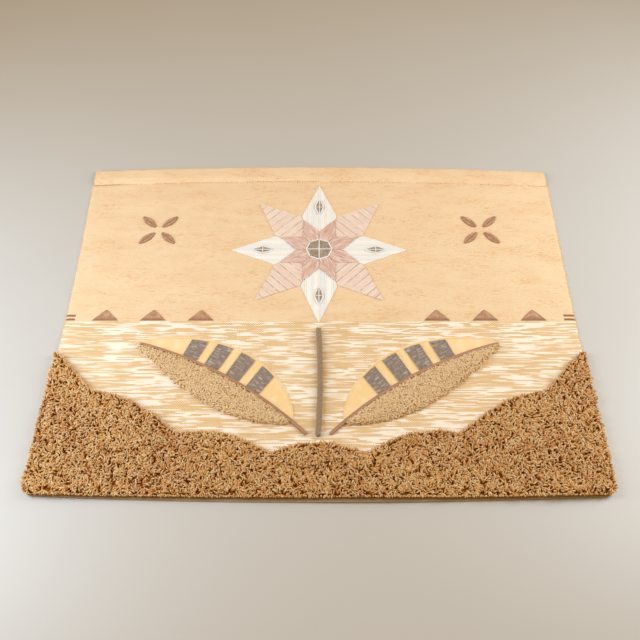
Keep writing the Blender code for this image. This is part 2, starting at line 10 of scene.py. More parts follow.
import bmesh
import bpy
import numpy as np
from bpy.props import FloatProperty, FloatVectorProperty, IntProperty, PointerProperty
from mathutils import Matrix, Vector, noise


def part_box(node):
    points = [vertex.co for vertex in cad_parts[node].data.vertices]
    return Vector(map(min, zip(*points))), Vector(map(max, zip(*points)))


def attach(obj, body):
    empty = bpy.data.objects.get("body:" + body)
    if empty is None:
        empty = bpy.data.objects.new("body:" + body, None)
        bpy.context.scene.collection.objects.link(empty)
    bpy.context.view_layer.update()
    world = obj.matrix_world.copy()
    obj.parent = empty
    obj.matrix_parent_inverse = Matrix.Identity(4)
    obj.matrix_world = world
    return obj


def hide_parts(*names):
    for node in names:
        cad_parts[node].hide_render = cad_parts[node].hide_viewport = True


bl_info = {
    "name": "Woven wall hanging",
    "version": (1, 0, 0),
    "blender": (4, 5, 0),
    "location": "3D View > Sidebar > Hanging",
    "description": "Weaves, tufts and sews the pieces of a wall hanging",
    "category": "Object",
}

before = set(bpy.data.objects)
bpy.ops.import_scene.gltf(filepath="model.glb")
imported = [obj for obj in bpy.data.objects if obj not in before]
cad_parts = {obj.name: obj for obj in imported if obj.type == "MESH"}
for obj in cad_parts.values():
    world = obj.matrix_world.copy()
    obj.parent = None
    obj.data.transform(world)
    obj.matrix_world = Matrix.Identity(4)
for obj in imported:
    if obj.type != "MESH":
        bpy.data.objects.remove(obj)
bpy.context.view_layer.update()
MM = 0.001

# The cloth and its sleeve
CLOTH_HALF_WIDTH = 0.643
CLOTH_BOTTOM = -0.500
SEAM_Y = 0.445
CLOTH_THICKNESS = 0.0025
BOTTOM_BOW = 0.014
TOP_BOW = 0.018
TOP_PEAK_X = -0.06
LEFT_WAIST = 0.010
RIGHT_WAIST = 0.004
CORNER_RADIUS = 0.022
SEAM_GAP = 0.0003
SLEEVE_HEIGHT = 0.055
SLEEVE_INSET = 0.005
SLEEVE_LOFT = 0.0112
SLEEVE_WALL = 0.0022
SLEEVE_CROWN_SHARE = 0.6
SLEEVE_SQUARENESS = 2.6

FOLD_COLUMNS = ("x", "y", "turn_deg", "half_length", "half_width", "height")
FOLDS = (
    (0.36, 0.390, -6, 0.22, 0.040, 0.0030),
    (-0.34, 0.385, 5, 0.24, 0.045, 0.0025),
    (-0.58, 0.130, 62, 0.15, 0.050, 0.0035),
    (0.58, 0.090, -68, 0.14, 0.045, 0.0035),
    (-0.62, -0.090, 20, 0.08, 0.050, 0.0040),
    (-0.58, -0.500, 4, 0.15, 0.060, 0.0040),
    (0.56, -0.500, -4, 0.16, 0.060, 0.0050),
    (0.12, -0.505, 0, 0.20, 0.050, 0.0030),
)
# Shallow creases from storage, which the solids leave out
CREASES = (
    (-0.46, 0.372, 12, 0.16, 0.012, 0.0009),
    (-0.30, 0.330, -8, 0.13, 0.010, 0.0007),
    (0.44, 0.360, -14, 0.15, 0.012, 0.0009),
    (0.33, 0.300, 10, 0.10, 0.010, 0.0007),
    (-0.42, 0.060, 3, 0.18, 0.012, 0.0006),
    (0.45, 0.040, -4, 0.16, 0.012, 0.0006),
    (-0.20, -0.130, 2, 0.15, 0.014, 0.0006),
    (0.30, -0.110, -3, 0.17, 0.014, 0.0006),
)

# The pile's outline
PILE_GAP = 0.0009
PILE_VALLEY_Y = -0.395
PILE_SIDE_RISE = 0.245
PILE_SIDE_POWER = 2.2
HEM_AT_MIDDLE = 0.010
HEM_AT_CORNERS = 0.002
PILE_SIDE_OVERHANG = 0.002
SCALLOP_PITCH = 0.2150
SCALLOP_RISE = 0.030

# The patchwork star
STAR_CENTRE = (0.0, 0.195)
STAR_POINTS = 8
STAR_SIDE = 0.127
STAR_HUB = 0.022
INNER_STAR_SIDE = 0.062
INNER_STAR_HUB = 0.014
PATCH_SEAM = 0.0006
PATCH_THICKNESS = 0.0015
BATTEN_PITCH = 0.0175
BATTEN_WIDTH = 0.0040
BATTEN_RISE = 0.0012
COURSE_PITCH = 0.0210
COURSE_RISE = 0.0012
CENTRE_RADIUS = 0.034
PANE_LENGTH = 0.050
PANE_WIDTH = 0.024
PANE_TIP_SHARE = 0.12
PANE_FROM_CENTRE = 0.150
PANE_THICKNESS = 0.0014

# The two leaves and the stem
LEAF_BASE = (0.060, -0.310)
LEAF_TURN = math.radians(29)
LEAF_LENGTH = 0.440
LEAF_HALF_WIDTH = 0.082
LEAF_BEND = 0.026
LEAF_FULLNESS = 0.85
LEAF_BLUNTNESS = 0.78
LEAF_START = 0.012
LEAF_END = 0.985
PAD_HEIGHT = 0.0115
PAD_EDGE = 0.0030
PAD_ROUNDNESS = 0.6
LEAF_CLOTH_THICKNESS = 0.0018
BAR_COUNT = 4
BAR_FIRST = 0.24
BAR_PITCH = 0.135
BAR_SHARE = 0.62
BAR_MARGIN = 0.007
BAR_CORD_MARGIN = 0.0015
BAR_THICKNESS = 0.0014
MIDRIB_WIDTH = 0.0090
MIDRIB_HEIGHT = 0.0052
MIDRIB_FROM = -0.100
MIDRIB_TO = 0.985
STEM_FOOT = (0.0, -0.3480)
STEM_HEAD = (0.0, -0.0560)
STEM_SWAY = 0.004
STEM_RADIUS = 0.0074
STEM_SEAT = 0.9

# The small felt pieces
BLOSSOM_X = 0.435
BLOSSOM_Y = 0.265
PETAL_COUNT = 4
PETAL_LENGTH = 0.056
PETAL_WIDTH = 0.020
PETAL_THICKNESS = 0.0030
PETAL_GROOVE = 0.0010
PETAL_TIP = 0.04
PETAL_BLUNTNESS = 0.8
PETAL_SIDE_SHARE = 0.6
PETAL_FROM_CENTRE = 0.040
TRIANGLE_XS = (0.295, 0.415, 0.535)
TRIANGLE_Y = -0.030
TRIANGLE_WIDTH = 0.064
TRIANGLE_HEIGHT = 0.032
TRIANGLE_THICKNESS = 0.0022

SIDES = ((-1, "left"), (1, "right"))


def box_middle(node):
    low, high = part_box(node)
    return (low + high) / 2


# From the design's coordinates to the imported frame, in which the whole box is centred
FROM_DESIGN = Vector((*(box_middle("star_centre").xy - Vector(STAR_CENTRE)), 0.0))


def linear(hex_colour):
    """An sRGB colour such as #F4D3A7 as the three linear values that a shader takes."""
    channels = [int(hex_colour[i : i + 2], 16) / 255 for i in (1, 3, 5)]
    return tuple(c / 12.92 if c <= 0.04045 else ((c + 0.055) / 1.055) ** 2.4 for c in channels)


def colour(name, description, hex_colour):
    return FloatVectorProperty(
        name=name, description=description, default=linear(hex_colour), subtype="COLOR", size=3,
        min=0.0, max=1.0,
    )


def length(name, description, metres):
    return FloatProperty(
        name=name, description=description, default=metres, min=0.0, precision=5,
        subtype="DISTANCE", unit="LENGTH",
    )


class ClothSettings(bpy.types.PropertyGroup):
    field_line: FloatProperty(
        name="Field line", description="Height at which the streaked field ends",
        default=-0.030, subtype="DISTANCE", unit="LENGTH",
    )
    weft_pitch: length("Weft pitch", "From one weft thread to the next", 0.0030)
    warp_pitch: length("Warp pitch", "From one warp thread to the next", 0.0060)
    edge_wobble: length("Edge wobble", "How far the selvage strays", 0.0014)
    loop_pitch: length("Loop pitch", "Between the weft loops at the selvage", 0.006)
    stitch_pitch: length("Stitch pitch", "Between the stitches of the sleeve's seam", 0.0075)
    plain: colour("Plain field", "Undyed wool of the plain field", "#F5DDBA")
    plain_slub: colour("Plain slubs", "Darker slubs in the plain field", "#E2B684")
    blush: colour("Blush", "Pinkish slubs in the plain field", "#E8B795")
    fleck: colour("Fleck", "Seed flecks in the wool", "#A0714A")
    streak_white: colour("Streak white", "Bleached slubs of the streaked field", "#FCF8F0")
    streak_tan: colour("Streak tan", "Undyed wool of the streaked field", "#F2D6A8")
    twill: colour("Twill", "Darker warp that shows between wefts", "#A27D55")
    hem: colour("Hem", "Grey-beige tape along the bottom hem", "#A89274")
    selvage_mark: colour("Selvage mark", "Brown marks woven in at the side edges", "#9C6B4E")
    thread: colour("Seam thread", "Thread of the sleeve's seam", "#84593A")


class PileSettings(bpy.types.PropertyGroup):
    pitch: length("Pitch", "From one yarn end to the next", 0.0043)
    rim_pitch: length("Rim pitch", "The same in the close row along the outline", 0.0032)
    yarn_radius: length("Yarn radius", "Half the thickness of a yarn end", 0.0019)
    low: length("Low", "Height of the pile between its lumps", 0.0100)
    high: length("High", "Height of the pile on its lumps", 0.0190)
    overhang: length("Overhang", "How far yarn ends hang over the pile's outline", 0.0040)
    hem_overhang: length("Hem overhang", "The same at the middle of the hem", 0.0044)
    hook: FloatProperty(
        name="Hook", description="Above 1, yarn ends bend mostly at their tips", default=1.6
    )
    root: colour("Root", "Shaded foot of a yarn end", "#94520F")
    middle: colour("Middle", "Dyed wool", "#E2A858")
    rust: colour("Rust", "Redder dye lots", "#CC8238")
    # The tip colour is a painted highlight on the tops of the yarn ends.
    tip: colour("Tip", "Worn, lighter tips", "#FFEABE")


class StarSettings(bpy.types.PropertyGroup):
    frame_width: length("Frame width", "Width of the painted strips round a pane", 0.0036)
    white: colour("White", "Main paint of the boarded patches", "#F5F6F7")
    cool_white: colour("Cool white", "Cooler boards", "#E4EAF0")
    cream: colour("Cream", "Paint along the battens", "#F5EDE2")
    beige: colour("Beige", "Ground paint of the coursed patches", "#F2E6DA")
    rose: colour("Rose", "Brushed paint of the coursed patches", "#DDB9AC")
    dusk: colour("Dusk", "Dry-brushed paint of the inner star", "#C29288")
    shadow_line: colour("Shadow line", "Thin lines where courses overlap", "#7A6252")
    taupe: colour("Taupe", "Raw linen of the panes", "#9A8470")
    shaded_edge: colour("Raw edge", "Shaded raw edge of the linen", "#4A3A32")


class LeafSettings(bpy.types.PropertyGroup):
    loop_count: IntProperty(
        name="Loops", description="Short yarn loops on each padded half", default=3200, min=0
    )
    loop_length: length("Loop length", "Length of a short yarn loop", 0.0084)
    loop_radius: length("Loop radius", "Half the thickness of a short yarn loop", 0.0013)
    pile_dark: colour("Pile dark", "Shaded foot of the short loops", "#B98C56")
    pile: colour("Pile", "Sandy short loops", "#F5D6A6")
    pile_light: colour("Pile light", "Lit tops of the short loops", "#FFF2DA")
    cloth: colour("Cloth", "Smooth cloth of the flat half", "#F0CF96")
    taupe: colour("Taupe", "Raw cloth of the bars", "#7E6E68")
    suede: colour("Suede", "Brown strip between the halves", "#A4745A")
    suede_dark: colour("Suede dark", "Nap brushed the other way", "#84593F")
    # The crown colour is a painted highlight.
    suede_highlight: colour("Suede rubbed", "Worn crown of the strip", "#C29A7B")


class RopeSettings(bpy.types.PropertyGroup):
    lay: length("Lay", "Length in which a strand goes once round the rope", 0.044)
    strand_radius: length("Strand radius", "Half the thickness of one strand", 0.0040)
    yarn_lay: length("Yarn lay", "Length in which a yarn goes once round its strand", 0.017)
    # The rope's dark colour is painted shade between its yarns.
    dark: colour("Dark", "Between the yarns", "#5E4936")
    fibre: colour("Fibre", "Grey-brown fibre", "#9A8068")
    # The rope's light colour is a painted highlight on the crowns of its yarns.
    light: colour("Light", "Worn fibre on the crowns", "#D0B898")


class FeltSettings(bpy.types.PropertyGroup):
    felt: colour("Felt", "Brown wool felt", "#BC8C6C")
    felt_dark: colour("Felt dark", "Pressed and shaded felt", "#86593F")
    felt_light: colour("Felt light", "Rubbed felt", "#DDB594")
    stitch: colour("Stitch", "Pale stitches along the triangles", "#E2BA9E")


class StageSettings(bpy.types.PropertyGroup):
    floor: colour("Floor", "Plain pale floor", "#C5C5C5")
    scuff: colour("Scuff", "Worn places in the floor", "#AEAEAE")
    sky: colour("Sky", "Warm light from all round", "#F8CC82")
    sky_strength: FloatProperty(name="Sky strength", description="Even light", default=0.54)
    left_light: colour("Left light", "Daylight softbox at the left", "#DCECFA")
    left_power: FloatProperty(
        name="Left power", description="Power of the left softbox", default=31.5, unit="POWER"
    )
    right_light: colour("Right light", "Softbox at the right", "#E8F5FF")
    right_power: FloatProperty(
        name="Right power", description="Power of the right softbox", default=31.0, unit="POWER"
    )


SETTINGS = (
    ("hanging_cloth", ClothSettings),
    ("hanging_pile", PileSettings),
    ("hanging_star", StarSettings),
    ("hanging_leaf", LeafSettings),
    ("hanging_rope", RopeSettings),
    ("hanging_felt", FeltSettings),
    ("hanging_stage", StageSettings),
)


# Finishes


def connect(tree, node, inputs):
    """Sets a node's inputs: each takes a value, a socket, or a node for its first output."""
    for key, value in inputs.items():
        socket = node.inputs[key] if isinstance(key, int) else next(
            s for s in node.inputs if s.name == key and s.enabled
        )
        if isinstance(value, bpy.types.Node):
            value = next(s for s in value.outputs if s.enabled)
        if isinstance(value, bpy.types.NodeSocket):
            tree.links.new(value, socket)
        elif socket.type == "RGBA" and len(value) == 3:
            socket.default_value = (*value, 1.0)
        else:
            socket.default_value = value


def add(tree, kind, inputs=None, **settings):
    """Adds a node with its settings and what its inputs take."""
    node = tree.nodes.new(kind)
    for name, value in settings.items():
        setattr(node, name, value)
    connect(tree, node, inputs or {})
    return node


def streaks(tree, vector, long_mm, wide_mm, low, high, most=1.0, detail=2.0):
    """Soft marks of a size in millimetres as a mask: 0 where the noise is low, most where high."""
    scale = (1 / (long_mm * MM), 1 / (wide_mm * MM), 1 / (wide_mm * MM))
    stretched = add(tree, "ShaderNodeMapping", {"Vector": vector, "Scale": scale})
    marks = add(tree, "ShaderNodeTexNoise", {"Vector": stretched, "Scale": 1, "Detail": detail})
    return add(
        tree, "ShaderNodeMapRange",
        {"Value": marks, "From Min": low, "From Max": high, "To Max": most},
        interpolation_type="SMOOTHSTEP",
    )


def ribs(tree, value, pitch):
    """A wave along a coordinate, from -1 to 1, once in each pitch in metres."""
    turns = add(tree, "ShaderNodeMath", {0: value, 1: math.tau / pitch}, operation="MULTIPLY")
    return add(tree, "ShaderNodeMath", {0: turns}, operation="SINE")


def finish_named(name, roughness, sheen=0.0, specular=0.3):
    """A new material with its shader's constant settings, its node tree and the shader."""
    made = bpy.data.materials.new(name)
    made.use_nodes = True
    shader = made.node_tree.nodes["Principled BSDF"]
    shader.inputs["Roughness"].default_value = roughness
    shader.inputs["Specular IOR Level"].default_value = specular
    shader.inputs["Sheen Weight"].default_value = sheen
    shader.inputs["Sheen Roughness"].default_value = 0.6
    return made, made.node_tree, shader


def attribute(tree, name):
    """A mesh attribute as a vector and as its three parts."""
    vector = add(tree, "ShaderNodeAttribute", attribute_name=name).outputs["Vector"]
    parts = add(tree, "ShaderNodeSeparateXYZ", {"Vector": vector})
    return vector, *parts.outputs


def woven_wool():
    """Hand-woven wool on a cotton warp: matte, finely ribbed, with slubs and seed flecks.

    The plain field is one undyed wool; below its line, bleached and tan slubs take turns in
    long thin streaks, and the darker warp shows between them as rows of dots.
    """
    look = bpy.context.scene.hanging_cloth
    made, tree, shader = finish_named("handwoven_wool_and_cotton", 0.95, sheen=0.12, specular=0.2)
    place = add(tree, "ShaderNodeTexCoord").outputs["Object"]
    axes = add(tree, "ShaderNodeSeparateXYZ", {"Vector": place})
    x, y = axes.outputs["X"], axes.outputs["Y"]
    _, _, from_hem, is_ground = attribute(tree, "lay")

    # A warp goes over each second weft, and shows there as a dot. The wefts are drawn 3 mm
    # and the warps 6 mm apart, about a third coarser than they are, so that the dots show.
    row, warp = ribs(tree, y, 2 * look.weft_pitch), ribs(tree, x, look.warp_pitch)
    checks = add(tree, "ShaderNodeMath", {0: row, 1: warp}, operation="MULTIPLY")
    deep = add(
        tree, "ShaderNodeMapRange",
        {"Value": checks, "From Min": 0.05, "From Max": 0.60, "To Max": 0.85},
        interpolation_type="SMOOTHSTEP",
    )
    faint = add(tree, "ShaderNodeMath", {0: deep, 1: 0.36}, operation="MULTIPLY")

    slubs = streaks(tree, place, 13, 1.8, 0.48, 0.68, most=0.85)
    worn = streaks(tree, place, 110, 34, 0.42, 0.64)
    slubs = add(tree, "ShaderNodeMath", {0: slubs, 1: worn}, operation="MULTIPLY")
    plain = add(
        tree, "ShaderNodeMix", {"Factor": slubs, "A": look.plain, "B": look.plain_slub},
        data_type="RGBA",
    )
    clouds = streaks(tree, place, 130, 60, 0.35, 0.75, most=0.22, detail=3.0)
    plain = add(
        tree, "ShaderNodeMix", {"Factor": clouds, "A": plain, "B": look.plain_slub},
        data_type="RGBA",
    )
    blushes = streaks(tree, place, 26, 2.4, 0.60, 0.71, most=0.85)
    plain = add(
        tree, "ShaderNodeMix", {"Factor": blushes, "A": plain, "B": look.blush},
        data_type="RGBA",
    )
    plain = add(
        tree, "ShaderNodeMix", {"Factor": faint, "A": plain, "B": look.twill}, data_type="RGBA"
    )

    # In the streaked field every weft has its own run of bleached and tan lengths
    wefts = add(tree, "ShaderNodeMath", {0: y, 1: 1 / look.weft_pitch}, operation="MULTIPLY")
    weft = add(tree, "ShaderNodeMath", {0: wefts}, operation="FLOOR")
    apart = add(tree, "ShaderNodeMath", {0: weft, 1: 1.73}, operation="MULTIPLY")
    key = add(tree, "ShaderNodeCombineXYZ", {"X": x, "Y": apart})
    tan = streaks(tree, key, 120, 800, 0.42, 0.62, most=0.35, detail=1.0)
    streaked = add(
        tree, "ShaderNodeMix", {"Factor": tan, "A": look.streak_tan, "B": look.plain_slub},
        data_type="RGBA",
    )
    streaked = add(
        tree, "ShaderNodeMix", {"Factor": deep, "A": streaked, "B": look.twill},
        data_type="RGBA",
    )
    bleached = streaks(tree, key, 75, 1000, 0.47, 0.53, detail=1.0)
    patches = streaks(tree, place, 90, 22, 0.24, 0.56, most=0.9)
    bleached = add(tree, "ShaderNodeMath", {0: bleached, 1: patches}, operation="MULTIPLY")
    streaked = add(
        tree, "ShaderNodeMix", {"Factor": bleached, "A": streaked, "B": look.streak_white},
        data_type="RGBA",
    )

    stray = streaks(tree, place, 35, 9, 0.0, 1.0)
    line = add(tree, "ShaderNodeMath", {0: stray, 1: 0.006, 2: y}, operation="MULTIPLY_ADD")
    above = add(
        tree, "ShaderNodeMapRange",
        {"Value": line, "From Min": look.field_line, "From Max": look.field_line + 2 * MM},
    )
    woven = add(
        tree, "ShaderNodeMix", {"Factor": above, "A": streaked, "B": plain}, data_type="RGBA"
    )
    grain = streaks(tree, place, 2.4, 1.6, 0.30, 0.70, most=0.14, detail=1.0)
    woven = add(
        tree, "ShaderNodeMix", {"Factor": grain, "A": woven, "B": look.plain_slub},
        data_type="RGBA",
    )

    # Seed flecks gather in worn patches of the plain field and along the sleeve's seam
    flecks = streaks(tree, place, 3.4, 1.3, 0.60, 0.68, detail=1.0)
    worn = streaks(tree, place, 150, 16, 0.54, 0.70, most=0.55)
    worn = add(tree, "ShaderNodeMath", {0: worn, 1: above}, operation="MULTIPLY")
    seam = add(
        tree, "ShaderNodeMapRange",
        {"Value": from_hem, "From Min": 0.988, "From Max": 0.996, "To Max": 0.75},
    )
    seam = add(tree, "ShaderNodeMath", {0: seam, 1: is_ground}, operation="MULTIPLY")
    worn = add(tree, "ShaderNodeMath", {0: worn, 1: seam}, operation="MAXIMUM")
    depth = add(tree, "ShaderNodeMath", {0: worn, 1: flecks}, operation="MULTIPLY")
    woven = add(
        tree, "ShaderNodeMix", {"Factor": depth, "A": woven, "B": look.fleck}, data_type="RGBA"
    )

    reach = add(tree, "ShaderNodeMath", {0: x}, operation="ABSOLUTE")
    beside = add(
        tree, "ShaderNodeMapRange", {"Value": reach, "From Min": 0.6100, "From Max": 0.6115}
    )
    off = add(
        tree, "ShaderNodeMath", {0: y, 1: look.field_line + 0.010}, operation="SUBTRACT"
    )
    off = add(tree, "ShaderNodeMath", {0: off}, operation="ABSOLUTE")
    bars = add(
        tree, "ShaderNodeMapRange", {"Value": off, "From Min": 0.0095, "From Max": 0.0085}
    )
    gap = add(tree, "ShaderNodeMapRange", {"Value": off, "From Min": 0.0020, "From Max": 0.0030})
    mark = add(tree, "ShaderNodeMath", {0: beside, 1: bars}, operation="MULTIPLY")
    mark = add(tree, "ShaderNodeMath", {0: mark, 1: gap}, operation="MULTIPLY")
    woven = add(
        tree, "ShaderNodeMix", {"Factor": mark, "A": woven, "B": look.selvage_mark},
        data_type="RGBA",
    )
    taped = add(
        tree, "ShaderNodeMapRange",
        {"Value": from_hem, "From Min": 0.0150, "From Max": 0.0165, "To Min": is_ground,
         "To Max": 0.0},
    )
    woven = add(
        tree, "ShaderNodeMix", {"Factor": taped, "A": woven, "B": look.hem}, data_type="RGBA"
    )
    ridges = ribs(tree, y, look.weft_pitch)
    height = add(tree, "ShaderNodeMath", {0: ridges, 1: 0.5, 2: checks}, operation="MULTIPLY_ADD")
    bump = add(tree, "ShaderNodeBump", {"Height": height, "Distance": 0.35 * MM, "Strength": 0.7})
    connect(tree, shader, {"Base Color": woven, "Normal": bump})
    return made


def tinted_thread(name, first, second, roughness=0.9):
    """Thread or single fibres, matte: each its own shade between two, from the attribute tint."""
    made, tree, shader = finish_named(name, roughness, specular=0.2)
    _, shade, _, _ = attribute(tree, "tint")
    dyed = add(
        tree, "ShaderNodeMix", {"Factor": shade, "A": first, "B": second}, data_type="RGBA"
    )
    connect(tree, shader, {"Base Color": dyed})
    return made


def piled_wool(name, root, middle, other, tip, shade_to, highlight_from, lay_mm):
    """Two-ply wool yarn: painted shade at its foot, where it stands among its neighbours, and
    a painted highlight at its tip.

    The attribute tint holds the yarn's own shade, the share along it and its dye lot, which in
    the shag also carries painted shade along its partings. The attribute ply turns round the
    yarn, so that the two plies show as a slanting groove, darkened with painted shade.
    """
    made, tree, shader = finish_named(name, 1.0, sheen=0.06, specular=0.12)
    _, shade, share, lot = attribute(tree, "tint")
    dyed = add(tree, "ShaderNodeMix", {"Factor": lot, "A": middle, "B": other}, data_type="RGBA")
    # Painted highlight: the yarn ends grow paler towards their tips.
    worn = add(
        tree, "ShaderNodeMapRange", {"Value": share, "From Min": highlight_from, "To Max": shade},
        interpolation_type="SMOOTHSTEP",
    )
    dyed = add(tree, "ShaderNodeMix", {"Factor": worn, "A": dyed, "B": tip}, data_type="RGBA")
    # Painted shade: each yarn end darkens towards its foot.
    dark = add(
        tree, "ShaderNodeMapRange",
        {"Value": share, "From Max": shade_to, "To Min": 1.0, "To Max": 0.0},
    )
    dyed = add(tree, "ShaderNodeMix", {"Factor": dark, "A": dyed, "B": root}, data_type="RGBA")

    _, level, over, along = attribute(tree, "ply")
    angle = add(tree, "ShaderNodeMath", {0: over, 1: level}, operation="ARCTAN2")
    turns = add(
        tree, "ShaderNodeMath", {0: along, 1: math.tau / (lay_mm * MM), 2: angle},
        operation="MULTIPLY_ADD",
    )
    plies = add(tree, "ShaderNodeMath", {0: turns, 1: 2.0}, operation="MULTIPLY")
    plies = add(tree, "ShaderNodeMath", {0: plies}, operation="SINE")
    place = add(tree, "ShaderNodeTexCoord").outputs["Object"]
    fuzz = streaks(tree, place, 0.9, 0.9, 0.30, 0.70)
    height = add(tree, "ShaderNodeMath", {0: plies, 1: 0.35, 2: fuzz}, operation="MULTIPLY_ADD")
    # Painted shade in the groove between the two plies.
    groove = add(
        tree, "ShaderNodeMapRange",
        {"Value": height, "From Min": -0.3, "From Max": 1.1, "To Min": 0.40, "To Max": 0.0},
    )
    dyed = add(tree, "ShaderNodeMix", {"Factor": groove, "A": dyed, "B": root}, data_type="RGBA")
    bump = add(tree, "ShaderNodeBump", {"Height": height, "Distance": 0.6 * MM, "Strength": 0.6})
    connect(tree, shader, {"Base Color": dyed, "Normal": bump})
    return made


def felted_foot(name, dark, light, lump_mm):
    """The felted foot of a pile, seen only as dim gaps between its yarn ends: its dark colours are
    painted shade.
    """
    made, tree, shader = finish_named(name, 1.0, specular=0.1)
    place = add(tree, "ShaderNodeTexCoord").outputs["Object"]
    lumps = streaks(tree, place, lump_mm, lump_mm, 0.35, 0.65)
    dyed = add(tree, "ShaderNodeMix", {"Factor": lumps, "A": dark, "B": light}, data_type="RGBA")
    bump = add(tree, "ShaderNodeBump", {"Height": lumps, "Distance": lump_mm * MM / 4})
    connect(tree, shader, {"Base Color": dyed, "Normal": bump})
    return made


def painted_canvas(name, roughness, brushed_along):
    """The start of every painted finish: brush marks over canvas threads.

    The threads are drawn 1.4 mm apart, coarser than they are, so that they show.
    """
    made, tree, shader = finish_named(name, roughness)
    vector, across, along, own = attribute(tree, "lay")
    turn = math.pi / 2 if brushed_along else 0.0
    turned_marks = add(
        tree, "ShaderNodeMapping", {"Vector": vector, "Rotation": (0.0, 0.0, turn)}
    )
    marks = streaks(tree, turned_marks, 26, 1.1, 0.38, 0.66, detail=3.0)
    warp, weft = ribs(tree, across, 1.4 * MM), ribs(tree, along, 1.4 * MM)
    cells = add(tree, "ShaderNodeMath", {0: warp, 1: weft}, operation="MULTIPLY")
    height = add(tree, "ShaderNodeMath", {0: cells, 1: 0.3, 2: marks}, operation="MULTIPLY_ADD")
    bump = add(tree, "ShaderNodeBump", {"Height": height, "Distance": 0.2 * MM, "Strength": 0.6})
    connect(tree, shader, {"Normal": bump})
    return made, tree, shader, vector, across, along, own, marks


def chalky_boards():
    """Canvas painted off-white in boards: chalky, each board a little cooler or warmer,

    with cream along the battens and a thin grey line where a batten meets its board.
    """
    look = bpy.context.scene.hanging_star
    made, tree, shader, vector, across, _, own, marks = painted_canvas(
        "chalk_painted_canvas", 0.75, brushed_along=True
    )
    boards = add(
        tree, "ShaderNodeMath", {0: across, 1: 1 / BATTEN_PITCH}, operation="MULTIPLY"
    )
    board = add(tree, "ShaderNodeMath", {0: boards}, operation="FLOOR")
    key = add(tree, "ShaderNodeCombineXYZ", {"X": board, "Y": own})
    tone = add(tree, "ShaderNodeTexWhiteNoise", {"Vector": key}, noise_dimensions="3D")
    painted = add(
        tree, "ShaderNodeMix",
        {"Factor": tone.outputs["Value"], "A": look.white, "B": look.cool_white},
        data_type="RGBA",
    )
    depth = add(tree, "ShaderNodeMath", {0: marks, 1: 0.25}, operation="MULTIPLY")
    painted = add(
        tree, "ShaderNodeMix", {"Factor": depth, "A": painted, "B": look.cream}, data_type="RGBA"
    )
    shares = add(tree, "ShaderNodeMath", {0: boards, 1: 0.5}, operation="ADD")
    shares = add(tree, "ShaderNodeMath", {0: shares}, operation="FRACT")
    shares = add(tree, "ShaderNodeMath", {0: shares, 1: 0.5}, operation="SUBTRACT")
    off = add(tree, "ShaderNodeMath", {0: shares}, operation="ABSOLUTE")
    on_batten = add(
        tree, "ShaderNodeMapRange",
        {"Value": off, "From Min": 0.08, "From Max": 0.13, "To Min": 0.9, "To Max": 0.0},
    )
    painted = add(
        tree, "ShaderNodeMix", {"Factor": on_batten, "A": painted, "B": look.cream},
        data_type="RGBA",
    )
    beside = add(tree, "ShaderNodeMath", {0: off, 1: 0.145}, operation="SUBTRACT")
    beside = add(tree, "ShaderNodeMath", {0: beside}, operation="ABSOLUTE")
    line = add(
        tree, "ShaderNodeMapRange",
        {"Value": beside, "From Max": 0.030, "To Min": 0.30, "To Max": 0.0},
    )
    painted = add(
        tree, "ShaderNodeMix", {"Factor": line, "A": painted, "B": look.shadow_line},
        data_type="RGBA",
    )
    connect(tree, shader, {"Base Color": painted})
    return made


def rose_courses():
    """Canvas painted beige and brushed with rose, in courses with a broken dark overlap line."""
    look = bpy.context.scene.hanging_star
    made, tree, shader, vector, _, along, own, marks = painted_canvas(
        "rose_brushed_canvas", 0.78, brushed_along=False
    )
    courses = add(
        tree, "ShaderNodeMath", {0: along, 1: 1 / COURSE_PITCH, 2: -STAR_HUB / COURSE_PITCH},
        operation="MULTIPLY_ADD",
    )
    course = add(tree, "ShaderNodeMath", {0: courses}, operation="FLOOR")
    key = add(tree, "ShaderNodeCombineXYZ", {"X": course, "Y": own})
    tone = add(tree, "ShaderNodeTexWhiteNoise", {"Vector": key}, noise_dimensions="3D")
    depth = add(
        tree, "ShaderNodeMath", {0: tone.outputs["Value"], 1: 0.35}, operation="MULTIPLY"
    )
    painted = add(
        tree, "ShaderNodeMix", {"Factor": depth, "A": look.beige, "B": look.rose},
        data_type="RGBA",
    )
    depth = add(tree, "ShaderNodeMath", {0: marks, 1: 0.65}, operation="MULTIPLY")
    painted = add(
        tree, "ShaderNodeMix", {"Factor": depth, "A": painted, "B": look.rose}, data_type="RGBA"
    )
    up = add(tree, "ShaderNodeMath", {0: courses}, operation="FRACT")
    broken = streaks(tree, vector, 14, 60, 0.24, 0.66)
    line = add(
        tree, "ShaderNodeMapRange",
        {"Value": up, "From Max": 0.12, "To Min": broken, "To Max": 0.0},
    )
    painted = add(
        tree, "ShaderNodeMix", {"Factor": line, "A": painted, "B": look.shadow_line},
        data_type="RGBA",
    )
    connect(tree, shader, {"Base Color": painted})
    return made


def dusk_brushwork():
    """Canvas with a half-dry brush of dusty pink dragged over beige, so that streaks stay bare."""
    look = bpy.context.scene.hanging_star
    made, tree, shader, vector, _, _, _, marks = painted_canvas(
        "drybrushed_canvas", 0.8, brushed_along=True
    )
    painted = add(
        tree, "ShaderNodeMix", {"Factor": marks, "A": look.dusk, "B": look.beige},
        data_type="RGBA",
    )
    clouds = streaks(tree, vector, 22, 22, 0.35, 0.70, most=0.45)
    painted = add(
        tree, "ShaderNodeMix", {"Factor": clouds, "A": painted, "B": look.rose},
        data_type="RGBA",
    )
    connect(tree, shader, {"Base Color": painted})
    return made


def strip_paint():
    """White paint on narrow canvas strips, a little cooler in the brush marks."""
    look = bpy.context.scene.hanging_star
    made, tree, shader, _, _, _, _, marks = painted_canvas(
        "white_painted_strip", 0.7, brushed_along=True
    )
    painted = add(
        tree, "ShaderNodeMix", {"Factor": marks, "A": look.white, "B": look.cool_white},
        data_type="RGBA",
    )
    connect(tree, shader, {"Base Color": painted})
    return made


